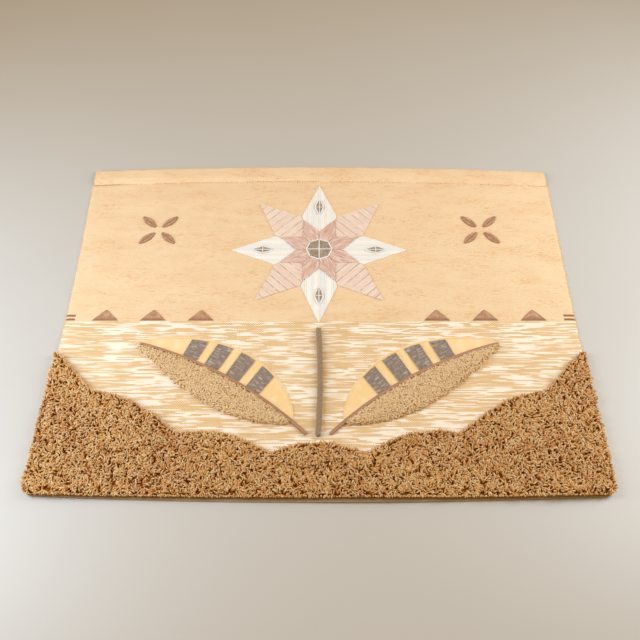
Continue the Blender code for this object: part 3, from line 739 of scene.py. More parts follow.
def raw_linen(name, base):
    """Raw linen, taupe: a coarse open weave, drawn 2.2 mm apart so that it shows,

    with pale slubs along it, and painted shade along its raw edges where the attribute lay says so.
    """
    look = bpy.context.scene.hanging_star
    made, tree, shader = finish_named(name, 0.95, sheen=0.1, specular=0.2)
    vector, across, along, edge = attribute(tree, "lay")
    warp, weft = ribs(tree, across, 2.2 * MM), ribs(tree, along, 2.2 * MM)
    cells = add(tree, "ShaderNodeMath", {0: warp, 1: weft}, operation="MULTIPLY")
    crowns = add(
        tree, "ShaderNodeMapRange", {"Value": cells, "From Min": -0.2, "To Max": 0.45}
    )
    woven = add(tree, "ShaderNodeMix", {"Factor": crowns, "A": base, "B": look.cream},
                data_type="RGBA")
    slubs = streaks(tree, vector, 16, 2.4, 0.44, 0.62, most=0.60)
    woven = add(
        tree, "ShaderNodeMix", {"Factor": slubs, "A": woven, "B": look.shadow_line},
        data_type="RGBA",
    )
    pale = streaks(tree, vector, 2.4, 20, 0.54, 0.68, most=0.45)
    woven = add(
        tree, "ShaderNodeMix", {"Factor": pale, "A": woven, "B": look.cream}, data_type="RGBA"
    )
    # Painted shade along the raw edges, as strong as the attribute lay asks.
    raw = add(tree, "ShaderNodeMath", {0: edge, 1: 0.6}, operation="MULTIPLY")
    woven = add(
        tree, "ShaderNodeMix", {"Factor": raw, "A": woven, "B": look.shaded_edge}, data_type="RGBA"
    )
    bump = add(tree, "ShaderNodeBump", {"Height": cells, "Distance": 0.3 * MM, "Strength": 0.7})
    connect(tree, shader, {"Base Color": woven, "Normal": bump})
    return made


def sateen():
    """Cotton sateen, peach-yellow: smooth, faintly lustrous, with very fine threads."""
    look = bpy.context.scene.hanging_leaf
    made, tree, shader = finish_named("peach_cotton_sateen", 0.6, sheen=0.15)
    vector, _, _, _ = attribute(tree, "lay")
    fine = streaks(tree, vector, 9, 1.2, 0.30, 0.70, most=0.30)
    woven = add(
        tree, "ShaderNodeMix", {"Factor": fine, "A": look.cloth, "B": look.pile},
        data_type="RGBA",
    )
    clouds = streaks(tree, vector, 45, 25, 0.40, 0.75, most=0.35)
    woven = add(
        tree, "ShaderNodeMix", {"Factor": clouds, "A": woven, "B": look.pile_light},
        data_type="RGBA",
    )
    bump = add(tree, "ShaderNodeBump", {"Height": fine, "Distance": 0.4 * MM, "Strength": 0.4})
    connect(tree, shader, {"Base Color": woven, "Normal": bump})
    return made


def suede_strip():
    """Suede strip, brown: short nap in patches, and a painted highlight along its crown."""
    look = bpy.context.scene.hanging_leaf
    made, tree, shader = finish_named("brown_suede_strip", 0.92, sheen=0.25, specular=0.2)
    vector, across, _, _ = attribute(tree, "lay")
    nap = streaks(tree, vector, 1.8, 9, 0.35, 0.68, most=0.55)
    dyed = add(
        tree, "ShaderNodeMix", {"Factor": nap, "A": look.suede, "B": look.suede_dark},
        data_type="RGBA",
    )
    # Painted highlight: the strip is paler along its crown.
    off = add(tree, "ShaderNodeMath", {0: across}, operation="ABSOLUTE")
    crown = add(
        tree, "ShaderNodeMapRange",
        {"Value": off, "From Min": 0.0006, "From Max": 0.0034, "To Min": 0.55, "To Max": 0.0},
    )
    dyed = add(
        tree, "ShaderNodeMix", {"Factor": crown, "A": dyed, "B": look.suede_highlight},
        data_type="RGBA",
    )
    bump = add(tree, "ShaderNodeBump", {"Height": nap, "Distance": 0.5 * MM, "Strength": 0.5})
    connect(tree, shader, {"Base Color": dyed, "Normal": bump})
    return made


def laid_rope():
    """Grey-brown bast rope of three strands: painted shade between its yarns, and a painted highlight
    on their crowns.
    """
    look = bpy.context.scene.hanging_rope
    made, tree, shader = finish_named("three_strand_bast_rope", 0.9, sheen=0.15, specular=0.25)
    vector, _, _, ridge = attribute(tree, "lay")
    # Painted shade between the yarns, where the ridge is low.
    crowns = add(tree, "ShaderNodeMapRange", {"Value": ridge, "From Min": 0.15, "From Max": 0.9})
    dyed = add(
        tree, "ShaderNodeMix", {"Factor": crowns, "A": look.dark, "B": look.fibre},
        data_type="RGBA",
    )
    fibres = streaks(tree, vector, 0.7, 9, 0.35, 0.68)
    # Painted highlight: the pale fibres show only on the crowns.
    depth = add(tree, "ShaderNodeMath", {0: fibres, 1: crowns}, operation="MULTIPLY")
    dyed = add(
        tree, "ShaderNodeMix", {"Factor": depth, "A": dyed, "B": look.light}, data_type="RGBA"
    )
    bump = add(tree, "ShaderNodeBump", {"Height": fibres, "Distance": 0.25 * MM, "Strength": 0.6})
    connect(tree, shader, {"Base Color": dyed, "Normal": bump})
    return made


def wool_felt():
    """Brown wool felt, cut: matted fibres in every direction, and painted shade where it is pressed.
    """
    look = bpy.context.scene.hanging_felt
    made, tree, shader = finish_named("brown_wool_felt", 1.0, sheen=0.3, specular=0.15)
    vector, _, _, pressed = attribute(tree, "lay")
    matted = streaks(tree, vector, 2.6, 1.5, 0.38, 0.64, most=0.7, detail=3.0)
    dyed = add(
        tree, "ShaderNodeMix", {"Factor": matted, "A": look.felt, "B": look.felt_dark},
        data_type="RGBA",
    )
    clouds = streaks(tree, vector, 12, 12, 0.38, 0.66, most=0.55)
    dyed = add(
        tree, "ShaderNodeMix", {"Factor": clouds, "A": dyed, "B": look.felt_light},
        data_type="RGBA",
    )
    # Painted shade where the attribute lay marks the felt as pressed.
    depth = add(tree, "ShaderNodeMath", {0: pressed, 1: 0.8}, operation="MULTIPLY")
    dyed = add(
        tree, "ShaderNodeMix", {"Factor": depth, "A": dyed, "B": look.felt_dark},
        data_type="RGBA",
    )
    bump = add(tree, "ShaderNodeBump", {"Height": matted, "Distance": 0.6 * MM, "Strength": 0.7})
    connect(tree, shader, {"Base Color": dyed, "Normal": bump})
    return made


def matte_floor():
    """Satin sheet flooring: pale neutral grey, with faint cloudy wear, mirroring only softly."""
    look = bpy.context.scene.hanging_stage
    made, tree, shader = finish_named("satin_sheet_floor", 0.45, specular=0.8)
    place = add(tree, "ShaderNodeTexCoord").outputs["Object"]
    wear = streaks(tree, place, 420, 300, 0.2, 0.9, most=0.10, detail=4.0)
    scuffs = add(
        tree, "ShaderNodeMix", {"Factor": wear, "A": look.floor, "B": look.scuff},
        data_type="RGBA",
    )
    connect(tree, shader, {"Base Color": scuffs})
    return made


# Shapes


def new_shape():
    """An empty bmesh with the layers that a laid piece uses."""
    shape = bmesh.new()
    shape.verts.layers.float.new("rise")
    shape.verts.layers.float_vector.new("lay")
    return shape


def laid_grid(shape, columns, rows, place, lay):
    """Adds a grid whose vertices place(u, v) puts down, with u and v from 0 to 1."""
    made = bmesh.ops.create_grid(shape, x_segments=columns, y_segments=rows, size=0.5)["verts"]
    u, v = np.array([vert.co[:2] for vert in made]).T + 0.5
    layer = shape.verts.layers.float_vector["lay"]
    for vert, point, where in zip(made, stacked(place(u, v)), stacked(lay(u, v))):
        vert.co = point
        vert[layer] = where
    return made, u, v


def stacked(parts):
    """Rows of three numbers from three arrays, or single numbers, of one length."""
    return np.stack(np.broadcast_arrays(*parts), axis=-1).astype(float)


def add_slab(shape, columns, rows, place, rise, lay):
    """Adds a closed sheet: a laid grid, thickened upwards by rise(u, v)."""
    made, u, v = laid_grid(shape, columns, rows, place, lay)
    layer = shape.verts.layers.float["rise"]
    for vert, height in zip(made, np.broadcast_to(rise(u, v), u.shape)):
        vert[layer] = height
    below = list(dict.fromkeys(face for vert in made for face in vert.link_faces))
    above = bmesh.ops.extrude_face_region(shape, geom=below, use_keep_orig=True)["geom"]
    for item in above:
        if isinstance(item, bmesh.types.BMVert):
            item.co.z += item[layer]


def add_tube(shape, around, along, place, lay):
    """Adds a closed tube: a laid grid with u round it, joined along its seam and capped."""
    made, _, _ = laid_grid(shape, around, along, place, lay)
    bmesh.ops.remove_doubles(shape, verts=made, dist=0.00002)
    ends = [edge for edge in shape.edges if edge.is_boundary]
    bmesh.ops.holes_fill(shape, edges=ends, sides=around)


def eased(t):
    """The same range with its steps closer together at both ends."""
    return (1 - np.cos(np.pi * t)) / 2


def rolled(t, share):
    """1 inside, falling round to 0 at both ends of 0 to 1, over a share of it."""
    inwards = np.clip(np.minimum(t, 1 - t) / share, 0, 1)
    return np.sqrt(1 - (1 - inwards) ** 2)


def wander(s, pitch, seed):
    """A smooth uneven line from -1 to 1 along a distance s."""
    phases = np.random.default_rng(seed).uniform(0, math.tau, 3)
    waves = [np.sin(math.tau * s / pitch * f + p) for f, p in zip((1.0, 1.73, 2.91), phases)]
    return sum(waves) / 3


def shown(name, shape, material, nodes, smooth_below=50):
    """The bmesh, or a mesh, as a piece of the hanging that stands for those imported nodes."""
    mesh = shape
    if isinstance(shape, bmesh.types.BMesh):
        bmesh.ops.recalc_face_normals(shape, faces=shape.faces)
        mesh = bpy.data.meshes.new(name)
        shape.to_mesh(mesh)
        shape.free()
        mesh.attributes.remove(mesh.attributes["rise"])
    mesh.transform(Matrix.Translation(FROM_DESIGN))
    mesh.shade_smooth()
    mesh.set_sharp_from_angle(angle=math.radians(smooth_below))
    mesh.materials.append(material)
    thing = bpy.data.objects.new(name, mesh)
    bpy.context.scene.collection.objects.link(thing)
    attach(thing, "root")
    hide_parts(*nodes)
    return thing


def yarn_template(sides, cuts, widths):
    """A short yarn end along Z from 0 to 1, with its tip drawn to a blunt point."""
    shape = bmesh.new()
    bmesh.ops.create_cone(
        shape, cap_ends=True, segments=sides, radius1=1, radius2=1, depth=1,
        matrix=Matrix.Translation((0, 0, 0.5)),
    )
    for cut in cuts:
        whole = shape.verts[:] + shape.edges[:] + shape.faces[:]
        bmesh.ops.bisect_plane(shape, geom=whole, plane_co=(0, 0, cut), plane_no=(0, 0, 1))
    tip = [face for face in shape.faces if face.calc_center_median().z > 0.99]
    bmesh.ops.poke(shape, faces=tip, offset=0.06)
    for vert in shape.verts:
        width = np.interp(vert.co.z, (0.0, *cuts, 1.0), widths)
        vert.co.x *= width
        vert.co.y *= width
    shape.verts.index_update()
    return shape


def arc(start, curl, levels, hook):
    """How far ahead and above a bent end of unit length is at each level from its root.

    It leans by start, and by curl more at its tip; with a high hook, mostly near its tip.
    """
    middles = (levels[1:] + levels[:-1]) / 2
    lean = start[:, None] + curl[:, None] * middles**hook
    steps = np.diff(levels)
    still = np.zeros((len(start), 1))
    ahead = np.hstack((still, np.cumsum(steps * np.sin(lean), axis=1)))
    above = np.hstack((still, np.cumsum(steps * np.cos(lean), axis=1)))
    return ahead, above


def bent_copies(template, roots, up, forward, start, curl, long, wide, twist=0.0, hook=1.0):
    """The vertices of bent copies, each an arc from its root that leans from up to forward."""
    local = np.array([vert.co[:] for vert in template.verts])
    levels, level = np.unique(local[:, 2].round(4), return_inverse=True)
    count = len(roots)
    start, curl, long, wide, twist = (
        np.broadcast_to(value, count) for value in (start, curl, long, wide, twist)
    )
    ahead, above = (part[:, level] * long[:, None] for part in arc(start, curl, levels, hook))
    lean = (start[:, None] + curl[:, None] * levels**hook)[:, level]
    up, forward = np.broadcast_to(up, roots.shape), np.broadcast_to(forward, roots.shape)
    beside = np.cross(forward, up)
    c, s = np.cos(twist)[:, None], np.sin(twist)[:, None]
    first = wide[:, None] * (local[:, 0] * c - local[:, 1] * s)
    second = wide[:, None] * (local[:, 0] * s + local[:, 1] * c)
    ahead, above = ahead + second * np.cos(lean), above - second * np.sin(lean)
    return (
        roots[:, None]
        + ahead[..., None] * forward[:, None]
        + above[..., None] * up[:, None]
        + first[..., None] * beside[:, None]
    )


def mesh_of_copies(name, template, points, shade, lot=0.0, least=0.0):
    """One mesh of many copies of a template.

    The attribute tint holds each copy's shade, the share along it and its dye lot, and ply the
    direction round it and the length along it in metres.
    """
    count, size = points.shape[:2]
    faces = [[vert.index for vert in face.verts] for face in template.faces]
    corners = np.concatenate(faces)
    starts = np.cumsum([0] + [len(face) for face in faces[:-1]])
    copies = np.arange(count)[:, None]
    mesh = bpy.data.meshes.new(name)
    mesh.vertices.add(count * size)
    mesh.vertices.foreach_set("co", points.ravel())
    mesh.loops.add(count * len(corners))
    mesh.loops.foreach_set("vertex_index", (corners + copies * size).ravel())
    mesh.polygons.add(count * len(faces))
    mesh.polygons.foreach_set("loop_start", (starts + copies * len(corners)).ravel())
    mesh.update(calc_edges=True)
    mesh.validate()
    local = np.array([vert.co[:] for vert in template.verts])
    tint = np.ones((count, size, 4))
    tint[..., 0] = np.broadcast_to(shade, count)[:, None]
    tint[..., 1] = np.maximum(np.clip(local[:, 2], 0, 1), np.broadcast_to(least, count)[:, None])
    tint[..., 2] = np.broadcast_to(lot, count)[:, None]
    mesh.attributes.new("tint", "FLOAT_COLOR", "POINT").data.foreach_set("color", tint.ravel())
    ply = np.zeros((count, size, 3))
    ply[..., :2] = local[:, :2]
    reach = np.linalg.norm(points[:, -1] - points[:, 0], axis=1)
    ply[..., 2] = local[:, 2] * reach[:, None]
    mesh.attributes.new("ply", "FLOAT_VECTOR", "POINT").data.foreach_set("vector", ply.ravel())
    return mesh


# The cloth


def lift(x, y):
    """How far the folds and creases raise the cloth's underside at a point."""
    total = 0.0
    for row in FOLDS + CREASES:
        fold = dict(zip(FOLD_COLUMNS, row))
        turn = math.radians(fold["turn_deg"])
        dx, dy = x - fold["x"], y - fold["y"]
        along = (dx * math.cos(turn) + dy * math.sin(turn)) / fold["half_length"]
        across = (dy * math.cos(turn) - dx * math.sin(turn)) / fold["half_width"]
        total = total + fold["height"] * np.maximum(0, 1 - along**2 - across**2) ** 2
    return total


def resting_on_cloth(x, y, gap=SEAM_GAP):
    return lift(x, y) + CLOTH_THICKNESS + gap


def bottom_edge(x):
    return CLOTH_BOTTOM + BOTTOM_BOW * (x / CLOTH_HALF_WIDTH) ** 2


def seam_line(x):
    return SEAM_Y - TOP_BOW * ((x - TOP_PEAK_X) / CLOTH_HALF_WIDTH) ** 2


def side_reach(x, y):
    """How far the cloth's edge is from the middle line, on the side that x is on."""
    share = (y - CLOTH_BOTTOM) / (SEAM_Y - CLOTH_BOTTOM)
    waist = np.where(x < 0, LEFT_WAIST, RIGHT_WAIST)
    return CLOTH_HALF_WIDTH - waist * np.sin(np.pi * share)


def round_corners(x, y, reach, bottom, radius):
    """Points of a square grid moved so that its two bottom corners are round."""
    a = np.maximum(0, (np.abs(x) - (reach - radius)) / radius)
    b = np.maximum(0, (bottom + radius - y) / radius)
    shrink = np.where((a > 0) & (b > 0), np.maximum(a, b) / np.maximum(np.hypot(a, b), 1e-9), 1)
    x = np.where(a > 0, np.sign(x) * (reach - radius + a * shrink * radius), x)
    y = np.where(b > 0, bottom + radius - b * shrink * radius, y)
    return x, y


def ground_place(u, v):
    look = bpy.context.scene.hanging_cloth
    across = 2 * u - 1
    bottom = bottom_edge(across * CLOTH_HALF_WIDTH)
    y = bottom + v * (seam_line(across * CLOTH_HALF_WIDTH) - bottom)
    reach = side_reach(across, y) + look.edge_wobble * wander(y, 0.075, 21) * np.abs(across) ** 40
    x, y = round_corners(across * reach, y, reach, bottom, CORNER_RADIUS)
    return x, y, lift(x, y)


def laid(thing):
    """Returns a small sheet of cloth that is sewn flat, unchanged."""
    return thing


def selvage_loops(columns_of=SIDES):
    """Small loops of weft that stand out at both side edges, where no pile hides them."""
    look = bpy.context.scene.hanging_cloth
    chance = np.random.default_rng(31)
    roots, forward = [], []
    for side, _ in columns_of:
        y = np.arange(-0.130, SEAM_Y - 0.020, look.loop_pitch)
        y = y + chance.uniform(-1, 1, len(y)) * look.loop_pitch * 0.2
        reach = side_reach(side, y) + look.edge_wobble * wander(y, 0.075, 21)
        x = side * (reach - 0.0012)
        roots.append(stacked((x, y, lift(x, y) + CLOTH_THICKNESS * 0.5)))
        forward.append(stacked((np.full_like(y, side), 0.0, 0.0)))
    roots, forward = np.concatenate(roots), np.concatenate(forward)
    template = yarn_template(5, (0.25, 0.5, 0.75), (0.9, 1.0, 1.0, 1.0, 0.9))
    count = len(roots)
    points = bent_copies(
        template, roots, np.array((0.0, 1.0, 0.0)), forward, 1.4 - chance.uniform(2.4, 3.0, count) / 2,
        chance.uniform(2.4, 3.0, count), chance.uniform(0.0048, 0.0068, count), 0.00065,
    )
    return mesh_of_copies(
        "selvage_loops", template, points, chance.uniform(0.4, 1.0, count)
    )


class HANGING_OT_weave_ground(bpy.types.Operator):
    """Weaves the ground cloth with its folds, and the loops at its selvages"""

    bl_idname = "hanging.weave_ground"
    bl_label = "Weave the ground"

    def execute(self, context):
        shape = new_shape()
        add_slab(
            shape, 168, 122, ground_place,
            lambda u, v: CLOTH_THICKNESS * (0.45 + 0.55 * rolled(u, 0.006)),
            lambda u, v: (u, v, 1.0),
        )
        ground = shown(
            "woven_ground", shape, woven_wool(), ["ground_cloth"],
            smooth_below=60,
        )
        look = context.scene.hanging_cloth
        fibre = tinted_thread("wool_weft_loop", look.plain_slub, look.plain)
        loops = shown("selvage_loops", selvage_loops(), fibre, ["ground_cloth"])
        return {"FINISHED"}


def sleeve_place(u, v):
    """The sleeve's outer surface: u goes round it, from its underside, and v along it.

    It springs from the seam, where it is pressed flat, and falls steeply at the top edge.
    """
    half = CLOTH_HALF_WIDTH - SLEEVE_INSET
    x = half * (2 * v - 1)
    angle = math.tau * (u - 0.25)
    c, s = np.cos(angle), np.sin(angle)
    across = 0.5 + 0.5 * np.sign(c) * np.abs(c) ** (2 / SLEEVE_SQUARENESS)
    sag = 1 - 0.12 * (1 + wander(x, 0.21, 41)) / 2
    pucker = 0.0006 * wander(x, 0.027, 42) * np.exp(-((across - 0.18) / 0.16) ** 2)
    front = np.clip(across / 0.40, 0, 1)
    spring = 1 - (1 - front) ** 2.2
    back = np.sqrt(np.clip(1 - np.clip((across - 0.80) / 0.20, 0, 1) ** 2.2, 0, 1))
    seat = CLOTH_THICKNESS + 0.0001
    top = seat + (SLEEVE_LOFT - seat) * spring * sag + pucker * (across < 0.8)
    z = np.where(s > 0, top * back, 0.0)
    top_line = 0.0012 * wander(x, 0.16, 43) * across
    y = seam_line(x) - 0.0006 + SLEEVE_HEIGHT * across + top_line
    return x, y, np.maximum(0.0, z)


def seam_stitches():
    """Stitches over the sleeve's seam: side by side for a hand's width at the left, then apart."""
    look = bpy.context.scene.hanging_cloth
    chance = np.random.default_rng(47)
    half = CLOTH_HALF_WIDTH - 0.004
    close = np.arange(-half, -half + 0.075, 0.0040)
    apart = np.arange(-half + 0.080, half, look.stitch_pitch)
    shown_here = cloudy(apart, 0 * apart, 0.06, 2.5) + chance.uniform(-0.3, 0.3, len(apart)) > 0.42
    x = np.concatenate((close, apart[shown_here]))
    x = x + chance.uniform(-0.0008, 0.0008, len(x))
    y = seam_line(x) - 0.0006 + chance.uniform(-0.0005, 0.0005, len(x))
    long = np.where(x < -half + 0.076, 0.0046, chance.uniform(0.0016, 0.0034, len(x)))
    roots = stacked((x, y, resting_on_cloth(x, y, 0.0002)))
    template = yarn_template(5, (0.5,), (0.6, 1.0, 0.6))
    points = bent_copies(
        template, roots, np.array((0.0, 0.0, 1.0)), np.array((1.0, 0.0, 0.0)), 1.2, 0.75,
        long, 0.0009,
    )
    return mesh_of_copies(
        "sleeve_stitches", template, points, chance.uniform(0.0, 0.35, len(x))
    )


class HANGING_OT_turn_sleeve(bpy.types.Operator):
    """Turns the top edge back into the rod sleeve and stitches it down"""

    bl_idname = "hanging.turn_sleeve"
    bl_label = "Turn the sleeve"

    def execute(self, context):
        shape = new_shape()
        made, _, _ = laid_grid(shape, 44, 190, sleeve_place, lambda u, v: (u, v, 0.0))
        bmesh.ops.remove_doubles(shape, verts=made, dist=0.00002)
        bmesh.ops.recalc_face_normals(shape, faces=shape.faces)
        bmesh.ops.solidify(shape, geom=shape.faces[:], thickness=SLEEVE_WALL)
        material = bpy.data.materials["handwoven_wool_and_cotton"]
        sleeve = shown(
            "turned_sleeve", shape, material, ["rod_sleeve"], smooth_below=60
        )
        look = context.scene.hanging_cloth
        thread = tinted_thread("cotton_seam_thread", look.thread, look.plain_slub, 0.8)
        stitches = shown(
            "sleeve_stitches", seam_stitches(), thread, ["rod_sleeve"]
        )
        return {"FINISHED"}


# The pile


def pile_top(x):
    share = np.minimum(1.0, np.abs(x) / CLOTH_HALF_WIDTH)
    valley = PILE_VALLEY_Y + PILE_SIDE_RISE * share**PILE_SIDE_POWER
    return valley + SCALLOP_RISE * np.abs(np.cos(np.pi * x / SCALLOP_PITCH))


def pile_bottom(x):
    middle = 1 - (x / CLOTH_HALF_WIDTH) ** 2
    return bottom_edge(x) + HEM_AT_CORNERS + (HEM_AT_MIDDLE - HEM_AT_CORNERS) * middle


def to_rim(x, y):
    """How far a point is inside the pile's outline, and the direction out of it."""
    below = y - pile_bottom(x)
    beside = side_reach(x, y) + PILE_SIDE_OVERHANG - np.abs(x)
    step = 0.002
    slope = (pile_top(x + step) - pile_top(x - step)) / (2 * step)
    steep = np.hypot(1, slope)
    above = (pile_top(x) - y) / steep
    radius = CORNER_RADIUS
    a, b = radius - beside, radius - below
    corner = np.where((a > 0) & (b > 0), radius - np.hypot(a, b), np.inf)
    distances = np.stack((below, beside, above, corner))
    nearest = np.argmin(distances, axis=0)
    side = np.sign(x)
    out_x = np.choose(nearest, (0 * x, side, -slope / steep, side * 0.707))
    out_y = np.choose(nearest, (0 * x - 1, 0 * x, 1 / steep, 0 * x - 0.707))
    return distances.min(axis=0), out_x, out_y


def cloudy(x, y, size, seed):
    """Soft clouds of a size in metres, from 0 to 1, at each point."""
    return np.array(
        [0.5 + 0.5 * noise.noise((a / size, b / size, seed)) for a, b in zip(x, y)]
    )


def yarn_roots(chance, pitch, rim_pitch):
    """Places for yarn ends: an uneven grid in the pile's outline, and a close row all round."""
    row_pitch = pitch * math.sqrt(3) / 2
    columns = int(2.1 * CLOTH_HALF_WIDTH / pitch)
    rows = int(0.46 / row_pitch)
    column, row = (part.ravel() for part in np.meshgrid(np.arange(columns), np.arange(rows)))
    x = -1.05 * CLOTH_HALF_WIDTH + (column + (row % 2) / 2) * pitch
    y = CLOTH_BOTTOM + row * row_pitch
    x = x + chance.uniform(-0.42, 0.42, len(x)) * pitch
    y = y + chance.uniform(-0.42, 0.42, len(y)) * pitch
    inside = to_rim(x, y)[0] > 0.0030
    x, y = x[inside], y[inside]

    fine_x, fine_y = (
        part.ravel()
        for part in np.meshgrid(np.arange(-0.66, 0.66, 0.0005), np.arange(-0.51, -0.04, 0.0005))
    )
    distance = to_rim(fine_x, fine_y)[0]
    band = np.nonzero((distance > 0.0008) & (distance < 0.0022))[0]
    cells = np.round(stacked((fine_x[band], fine_y[band])) / rim_pitch).astype(int)
    _, first = np.unique(cells, axis=0, return_index=True)
    x = np.concatenate((x, fine_x[band[first]]))
    y = np.concatenate((y, fine_y[band[first]]))
    order = np.argsort(x, kind="stable")
    return x[order], y[order]


def backing_place(u, v):
    across = 2 * u - 1
    reach = side_reach(across, 0.0) + PILE_SIDE_OVERHANG - 0.003
    x = across * reach
    low, high = pile_bottom(x) + 0.003, pile_top(x) - 0.003
    y = low + v * (high - low)
    reach = side_reach(across, y) + PILE_SIDE_OVERHANG - 0.003
    x, y = round_corners(across * reach, y, reach, low, CORNER_RADIUS)
    return x, y, resting_on_cloth(x, y, PILE_GAP)


class HANGING_OT_tuft_pile(bpy.types.Operator):
    """Tufts the shag along the bottom and up both sides, one bent yarn end at a time"""

    bl_idname = "hanging.tuft_pile"
    bl_label = "Tuft the pile"

    def execute(self, context):
        look = context.scene.hanging_pile
        shape = new_shape()
        add_slab(
            shape, 120, 24, backing_place,
            lambda u, v: 0.0012 + 0.0022 * rolled(v, 0.10) * rolled(u, 0.02),
            lambda u, v: (u, v, 0.0),
        )
        foot = felted_foot("felted_shag_foot", look.root, look.rust, 2.5)
        shown("pile_backing", shape, foot, ["shag_pile"])

        chance = np.random.default_rng(53)
        x, y = yarn_roots(chance, look.pitch, look.rim_pitch)
        count = len(x)
        inside, out_x, out_y = to_rim(x, y)
        at_rim = inside < 0.004
        lumps = np.clip(0.5 + 1.5 * (cloudy(x, y, 0.030, 3.1) - 0.5), 0, 1)
        parting = np.exp(-(((cloudy(x, y, 0.105, 5.3) - 0.5) / 0.010) ** 2))
        parting = parting * np.clip(inside / 0.02 - 0.3, 0, 1)
        rise = look.low + (look.high - look.low) * lumps
        rise = rise * (0.80 + 0.20 * np.clip(inside / 0.014, 0, 1)) * (1 - 0.40 * parting)
        rise = rise * chance.uniform(0.80, 1.06, count)

        heading = math.tau * 2 * cloudy(x, y, 0.024, 7.7) + chance.uniform(-1.9, 1.9, count)
        outward = np.arctan2(out_y, out_x) + chance.uniform(-1.3, 1.3, count)
        heading = np.where(at_rim, outward, heading)
        start = chance.uniform(0.0, 0.55, count) * np.where(at_rim, 0.5, 1.0)
        curl = np.where(at_rim, chance.uniform(0.2, 0.8, count), chance.uniform(0.2, 2.1, count))
        template = yarn_template(4, (0.34, 0.68), (0.9, 1.08, 1.06, 0.72))
        levels = np.linspace(0, 1, 9)
        ahead, above = arc(start, curl, levels, look.hook)
        long = np.clip(rise / above.max(axis=1), 0.008, 0.024)

        outwards = (np.cos(heading) * out_x + np.sin(heading) * out_y) * ahead.max(axis=1) * long
        hem = np.clip(1 - np.abs(x) / CLOTH_HALF_WIDTH, 0, 1) * (out_y < -0.9)
        allowed = inside + look.overhang + (look.hem_overhang - look.overhang) * hem
        upright = np.where(outwards > allowed, allowed / np.maximum(outwards, 1e-6), 1)
        start, curl = start * upright, curl * upright
        _, above = arc(start, curl, levels, look.hook)
        long = np.clip(rise / above.max(axis=1), 0.008, 0.024)

        roots = stacked((x, y, resting_on_cloth(x, y, PILE_GAP) + 0.0004))
        forward = stacked((np.cos(heading), np.sin(heading), 0.0))
        points = bent_copies(
            template, roots, np.array((0.0, 0.0, 1.0)), forward, start, curl, long,
            look.yarn_radius * chance.uniform(0.75, 1.2, count), chance.uniform(0, 6.28, count),
            look.hook,
        )
        shade = chance.beta(1.8, 1.5, count)
        lot = cloudy(x, y, 0.120, 11.3) + 0.7 * cloudy(x, y, 0.040, 13.9) - 0.85
        # The partings lean towards the rust colour: painted shade in the partings, laid over the dye
        # lots.
        lot = np.clip(0.36 + 1.6 * lot + 0.3 * parting, 0, 1)
        # Close to the outline the share is raised, so that these yarn ends get less of the painted
        # shade at their feet.
        least = np.clip(0.62 - inside / 0.008, 0, 1)
        wool = piled_wool(
            "cut_wool_shag", look.root, look.middle, look.rust, look.tip, 0.40, 0.32, 5.0
        )
        parts = np.array_split(np.arange(count), 4)
        for word, part in zip(("far_left", "left", "right", "far_right"), parts):
            name = f"shag_{word}"
            mesh = mesh_of_copies(
                name, template, points[part], shade[part], lot[part], least[part]
            )
            shown(name, mesh, wool, ["shag_pile"], smooth_below=180)
        template.free()
        return {"FINISHED"}


# The star


def turned(along, across, centre, angle):
    """A point along and across a direction, beside a centre."""
    c, s = math.cos(angle), math.sin(angle)
    return centre[0] + along * c - across * s, centre[1] + along * s + across * c


class Diamond:
    """One rhombus of a patchwork star, from the star's centre to its point, less its seams."""

    def __init__(self, side, hub):
        self.half_angle = math.pi / STAR_POINTS
        self.middle = side * math.cos(self.half_angle)
        self.hub = hub
        self.seam = PATCH_SEAM / math.cos(self.half_angle)
        self.widest = self.half_width(self.middle)
        self.end = 2 * self.middle - PATCH_SEAM / math.sin(self.half_angle)

    def half_width(self, along):
        from_tip = self.middle - np.abs(along - self.middle)
        return from_tip * math.tan(self.half_angle) - self.seam

    def reach(self, across):
        near = (np.abs(across) + self.seam) / math.tan(self.half_angle)
        return np.maximum(self.hub, near), 2 * self.middle - near


def layer_heights():
    """Where the star's first, second and third layers rest."""
    first = resting_on_cloth(*STAR_CENTRE)
    second = first + PATCH_THICKNESS + max(BATTEN_RISE, COURSE_RISE) + SEAM_GAP
    return first, second, second + PATCH_THICKNESS + SEAM_GAP


def battened_patch(angle, base, own):
    """A white patch: boards with a slight crown between narrow round battens."""
    diamond = Diamond(STAR_SIDE, STAR_HUB)
    edge = diamond.widest - 0.0008

    def across_at(u):
        return edge * (2 * u - 1)

    def along_at(u, v):
        near, far = diamond.reach(across_at(u))
        return near + (far - near) * eased(v)

    def place(u, v):
        x, y = turned(along_at(u, v), across_at(u), STAR_CENTRE, angle)
        return x, y, base

    def rise(u, v):
        across = across_at(u)
        index = np.clip(np.round(across / BATTEN_PITCH), -2, 2)
        off = np.abs(across - index * BATTEN_PITCH)
        batten = np.clip(1 - (off / (BATTEN_WIDTH * 0.62)) ** 4, 0, 1)
        board = np.sin(np.pi * np.clip(off / BATTEN_PITCH, 0, 0.5) * 2) * 0.0003
        top = PATCH_THICKNESS * 0.9 + board + BATTEN_RISE * batten
        return top * (0.55 + 0.45 * rolled(u, 0.012) * rolled(eased(v), 0.012))

    shape = new_shape()
    add_slab(
        shape, 112, 22, place, rise, lambda u, v: (across_at(u), along_at(u, v), own)
    )
    return shape


